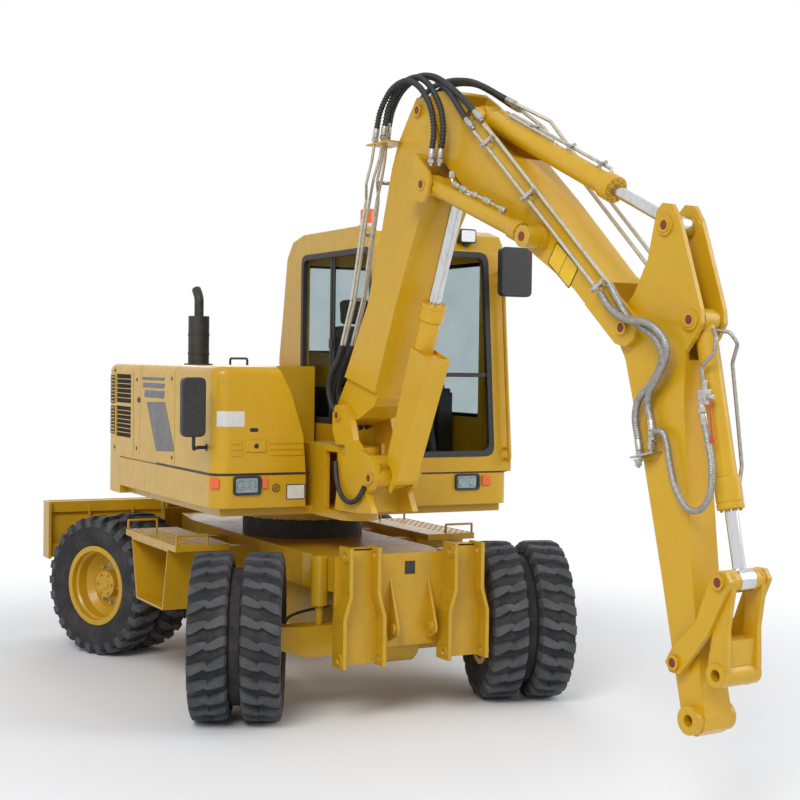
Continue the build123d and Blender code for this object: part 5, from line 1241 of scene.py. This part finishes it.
lines("adjust_lines", "adjust_barrels", [
    [(1.205, 3.19, -0.2), (1.21, 3.134, -0.2), (1.265, 3.108, -0.2), (1.47, 3.03, -0.2),
     (1.64, 2.96, -0.196)],
], radius=0.008, bend=0.03)

HOLDER = Piece("line_holder", "first_boom", "paint_yellow", 0.001)
HOLDER.prism([boom(f, h, -0.245) for f, h in block(0.425, 3.412, 0.66, 3.422)], SIDE * 0.165).done()

# Yellow sleeves over the adjusting rods' eyes, with the pins' red faces
sleeve = Piece("eye_sleeve_adjust_rods", "adjust_rods", "paint_yellow", 0.001)
pins = Piece("eye_pins_adjust_rods", "adjust_rods", "pin_red", 0.0005)
EYE_REACH = 0.075
for way in (-1, 1):
    near = corners_near("adjust_rods", ADJUST_END)
    eye = [(s * way, gap) for gap, s in near if gap < EYE_REACH and s * way > 0]
    far = max(s for s, gap in eye)
    long = far - min(s for s, gap in eye)
    wide = max(gap for s, gap in eye)
    at = boom(*ADJUST_END, way * far)
    aim = SIDE * way
    profile = [(0, wide + 0.0012), (long - 0.003, wide + 0.0012), (long + 0.0005, wide - 0.003)]
    sleeve.lathe(at - aim * (long - 0.001), aim, profile, 44)
    pins.stud(at, aim, 0.024, 0.0035, 0.003)
sleeve.done()
pins.done()

SIGN = Piece("boom_sign", "second_boom", "sign_yellow")
SIGN_RIM = Piece("boom_sign_rim", "second_boom", "black_paint")
sign_at = plane(boom(2.037, 2.657, -0.1185), heading(0.156, -0.129), heading(0.066, 0.094))
inner = block(-0.103, -0.057, 0.103, 0.057, 0.01)
SIGN.slab(sign_at, inner, 0, 0.0015).done()
SIGN_RIM.rim(sign_at, block(-0.108, -0.062, 0.108, 0.062, 0.012), inner, 0, 0.002)
SIGN_RIM.slab(sign_at, block(-0.0015, -0.057, 0.0015, 0.057), 0, 0.002).done()

FIT = {}
for body in ("first_boom", "second_boom", "arm", "bucket_barrel", "arm_barrel", "adjust_barrels"):
    FIT[body] = Piece("fittings_" + body, body, "fitting_steel", 0.0005)
HEAD_AIMS = [
    # ahead with one down at a hose's start, ahead and up at its end
    (-0.27, 0.76, -0.65), (-0.24, 0.76, -0.65), (-0.25, -0.2, -1), (-0.25, -0.1, -1), (-0.26, 0.85, -0.4),
    (-0.26, 0.9, -0.4),
]
for route, (back, ahead, rise) in zip(HEAD_RIGHT + HEAD_SHORT + HEAD_LEFT, HEAD_AIMS):
    fitting(FIT["first_boom"], boom(*route[0]), heading(back, -1))
    fitting(FIT["second_boom"], boom(*route[-1]), heading(ahead, rise))
ADJUST_SIDE = -0.199
COUPLINGS = (
    ((1.205, 3.196), (1.208, 3.16)), ((1.228, 3.125), (1.268, 3.107)), ((1.29, 3.098), (1.335, 3.081)),
    ((1.4, 3.056), (1.43, 3.045)), ((1.49, 3.022), (1.545, 3.0)), ((1.64, 2.96), (1.668, 2.948)),
)
for a, b in COUPLINGS:
    run = heading(b[0] - a[0], b[1] - a[1])
    nut = [(0, 0.012), (0.004, 0.017), (run.length, 0.017), (run.length + 0.004, 0.012)]
    FIT["adjust_barrels"].lathe(boom(*a, ADJUST_SIDE), run, nut, 6)
for f, h in ((1.3, 3.093), (1.64, 2.96)):
    FIT["adjust_barrels"].rod(boom(f, h, ADJUST_SIDE), boom(f - 0.017, h - 0.042, ADJUST_SIDE), 0.012)
for h, f in ((3.215, 0.385), (2.917, 0.25), (2.535, 0.158)):
    for back, side in ((0.034, -0.075), (0.05, 0.08)):
        clamp(FIT["first_boom"], boom(f - back, h + 0.004, side), SIDE, heading(-1.0, 0.28), 0.045)
for share in (0.06, 0.42, 0.98):
    one = boom(1.44, 3.398, -0.152).lerp(boom(2.398, 2.548, -0.152), share)
    other = boom(1.4, 3.358, -0.176).lerp(boom(2.358, 2.506, -0.176), share)
    clamp(FIT["second_boom"], (one + other) / 2 - SIDE * 0.01, other - one, -SIDE, 0.046)

# Hoses over the arm's pivot, to a bracket on the arm's side
OVER_ARM = ("arm", boom(2.5, 2.5), boom(2.76, 2.18))
ARM_RIGHT = [
    [(2.398, 2.548, -0.136), (2.465, 2.47, -0.14), (2.541, 2.392, -0.15), (2.655, 2.34, -0.16),
     (2.745, 2.283, -0.16), (2.777, 2.206, -0.15), (2.709, 2.095, -0.14), (2.612, 2.014, -0.132),
     (2.58, 1.923, -0.126), (2.6, 1.82, -0.124)],
    [(2.358, 2.506, -0.156), (2.43, 2.44, -0.165), (2.56, 2.38, -0.184), (2.71, 2.36, -0.19),
     (2.805, 2.305, -0.188), (2.828, 2.23, -0.176), (2.77, 2.13, -0.16), (2.69, 2.049, -0.14),
     (2.664, 1.982, -0.128), (2.68, 1.915, -0.124)],
]
ARM_LEFT = [
    [(2.38, 2.64, 0.138), (2.47, 2.56, 0.15), (2.58, 2.48, 0.164), (2.7, 2.4, 0.17),
     (2.78, 2.3, 0.16), (2.8, 2.2, 0.14), (2.79, 2.08, 0.122)],
]
hoses("arm_hoses", "second_boom", ARM_RIGHT, "hose_steel", 0.0165, 0.0016, between=OVER_ARM)
hoses("arm_hoses_left", "second_boom", ARM_LEFT, "hose_steel", 0.0145, 0.0016, between=OVER_ARM)
for route in ARM_RIGHT + ARM_LEFT:
    fitting(FIT["arm"], boom(*route[-1]), heading(0.02, -0.1))
bracket = boom(2.64, 1.742, -0.088)
edge = ((-0.07, -0.012), (0.08, 0.022), (0.08, 0.03), (-0.07, -0.004))
FIT["arm"].prism([bracket + heading(a, b) for a, b in edge], SIDE * -0.06)
for f, h in ((2.604, 1.726), (2.688, 1.81)):
    FIT["arm"].nut(boom(f, h, -0.124), -UP, 0.017, 0.03)
FIT["arm"].rod(boom(2.69, 1.905, -0.124), boom(2.68, 1.79, -0.124), 0.012)

# Loop from the bracket to the bucket cylinder's valve, and the lines at its head
BUCKET_HOSE = [
    (2.7, 1.862, -0.126), (2.76, 1.862, -0.128), (2.79, 1.815, -0.13), (2.812, 1.73, -0.13),
    (2.85, 1.615, -0.128), (2.924, 1.527, -0.124), (3.008, 1.53, -0.122), (3.06, 1.61, -0.122),
    (3.06, 1.728, -0.118), (3.03, 1.832, -0.112), (3.006, 1.905, -0.108),
]
OVER_BUCKET = ("bucket_barrel", boom(2.86, 1.56), boom(3.04, 1.56))
hoses("bucket_hose", "arm", [BUCKET_HOSE], "hose_steel", 0.014, 0.0016, between=OVER_BUCKET)
fitting(FIT["bucket_barrel"], boom(*BUCKET_HOSE[-1]), heading(-0.026, 0.095), 0.015)
VALVE = Piece("hose_valve", "bucket_barrel", "fitting_steel", 0.002)
valve_at = boom(2.975, 2.028, -0.1)
VALVE.prism([valve_at + heading(a, b) for a, b in block(-0.026, -0.034, 0.026, 0.034)], SIDE * 0.036)
valve_mid = valve_at + SIDE * 0.018
VALVE.rod(valve_mid + UP * 0.03, valve_mid + UP * 0.075, 0.013)
VALVE.lathe(valve_mid + AHEAD * 0.02, AHEAD, [(0, 0.012), (0.03, 0.012), (0.034, 0.009)], 18).done()
lines("bucket_lines", "bucket_barrel", [
    [(2.968, 2.09, -0.083), (2.955, 2.16, -0.083), (2.99, 2.192, -0.083), (3.025, 2.215, -0.08),
     (3.03, 2.29, -0.07), (2.985, 2.33, -0.045)],
    [(2.92, 2.33, 0.034), (2.985, 2.32, 0.06), (3.02, 2.27, 0.078), (2.985, 2.18, 0.082),
     (3.02, 1.95, 0.082), (3.055, 1.72, 0.08), (3.06, 1.64, 0.062)],
], "hose_steel", radius=0.009, bend=0.03)
LEVER = Piece("valve_lever", "bucket_barrel", "lever_red", 0.0005)
LEVER.tube([boom(3.016, 2.025, -0.09), boom(3.03, 1.96, -0.098), boom(3.046, 1.845, -0.1)], 0.0045, 10)
LEVER.lathe(boom(3.046, 1.85, -0.1), -UP, [(0, 0.006), (0.006, 0.013), (0.018, 0.013), (0.024, 0.007)], 18)
LEVER.done()

# Lines along the arm cylinder
start, aim, far, radius = barrel_lines("arm_barrel", ARM_CYL_BASE, ARM_CYL_END)[0]
top = aim.cross(SIDE)
if top.z < 0:
    top = -top


def on_barrel(along, side, lift):
    return start + aim * along + SIDE * side + top * (radius + lift)


TOP_PIPES = Piece("arm_cylinder_lines", "arm_barrel", "pipe_steel")
for s, begin, finish in ((0.03, 0.16, far - 0.1), (-0.02, 0.2, far * 0.55)):
    path = ((begin, -0.004), (begin, 0.016), (finish, 0.016), (finish, -0.006))
    TOP_PIPES.tube(bent([on_barrel(along, s, lift) for along, lift in path], 0.02), 0.009, 14)
TOP_PIPES.done()
for share in (0.35, 0.62, 0.85):
    clamp(FIT["arm_barrel"], on_barrel(far * share, 0.005, 0.026), SIDE, top, 0.04)
for piece in FIT.values():
    piece.done()

# Black hoses from the boom's lines down to the post
OVER_FOOT = ("swing_post", boom(0.06, 2.12), boom(0.0, 1.96))
hoses("foot_hoses", "first_boom", [
    [(0.06, 2.262, -0.095), (0.02, 2.18, -0.11), (-0.05, 2.08, -0.125), (-0.095, 1.99, -0.13),
     (-0.1, 1.9, -0.12), (-0.06, 1.82, -0.105), (-0.03, 1.76, -0.09)],
    [(0.04, 2.262, -0.132), (0.005, 2.18, -0.144), (-0.06, 2.085, -0.158), (-0.085, 2.0, -0.16),
     (-0.08, 1.91, -0.15), (-0.04, 1.83, -0.13), (-0.01, 1.77, -0.115)],
    [(0.06, 2.262, -0.168), (0.04, 2.18, -0.18), (-0.02, 2.1, -0.188), (-0.05, 2.02, -0.188),
     (-0.05, 1.93, -0.176), (-0.02, 1.85, -0.15), (0.01, 1.79, -0.13)],
    [(0.03, 2.262, -0.055), (-0.03, 2.18, -0.06), (-0.1, 2.08, -0.062), (-0.14, 1.985, -0.06),
     (-0.13, 1.89, -0.056), (-0.08, 1.81, -0.05), (-0.04, 1.75, -0.045)],
    [(0.02, 2.262, 0.06), (-0.04, 2.18, 0.062), (-0.11, 2.08, 0.062), (-0.145, 1.985, 0.06),
     (-0.13, 1.89, 0.056), (-0.08, 1.81, 0.05), (-0.04, 1.75, 0.045)],
    [(0.03, 2.262, 0.1), (-0.02, 2.18, 0.11), (-0.09, 2.08, 0.118), (-0.12, 1.985, 0.116),
     (-0.11, 1.89, 0.105), (-0.07, 1.81, 0.095), (-0.035, 1.755, 0.085)],
], "rubber", 0.0145, between=OVER_FOOT)
hoses("lift_hose", "swing_post", [
    [(0.03, 1.56, -0.18), (0.06, 1.45, -0.19), (0.13, 1.36, -0.196), (0.22, 1.33, -0.196),
     (0.3, 1.36, -0.19), (0.35, 1.43, -0.18)],
], "rubber", 0.015)


low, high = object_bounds()
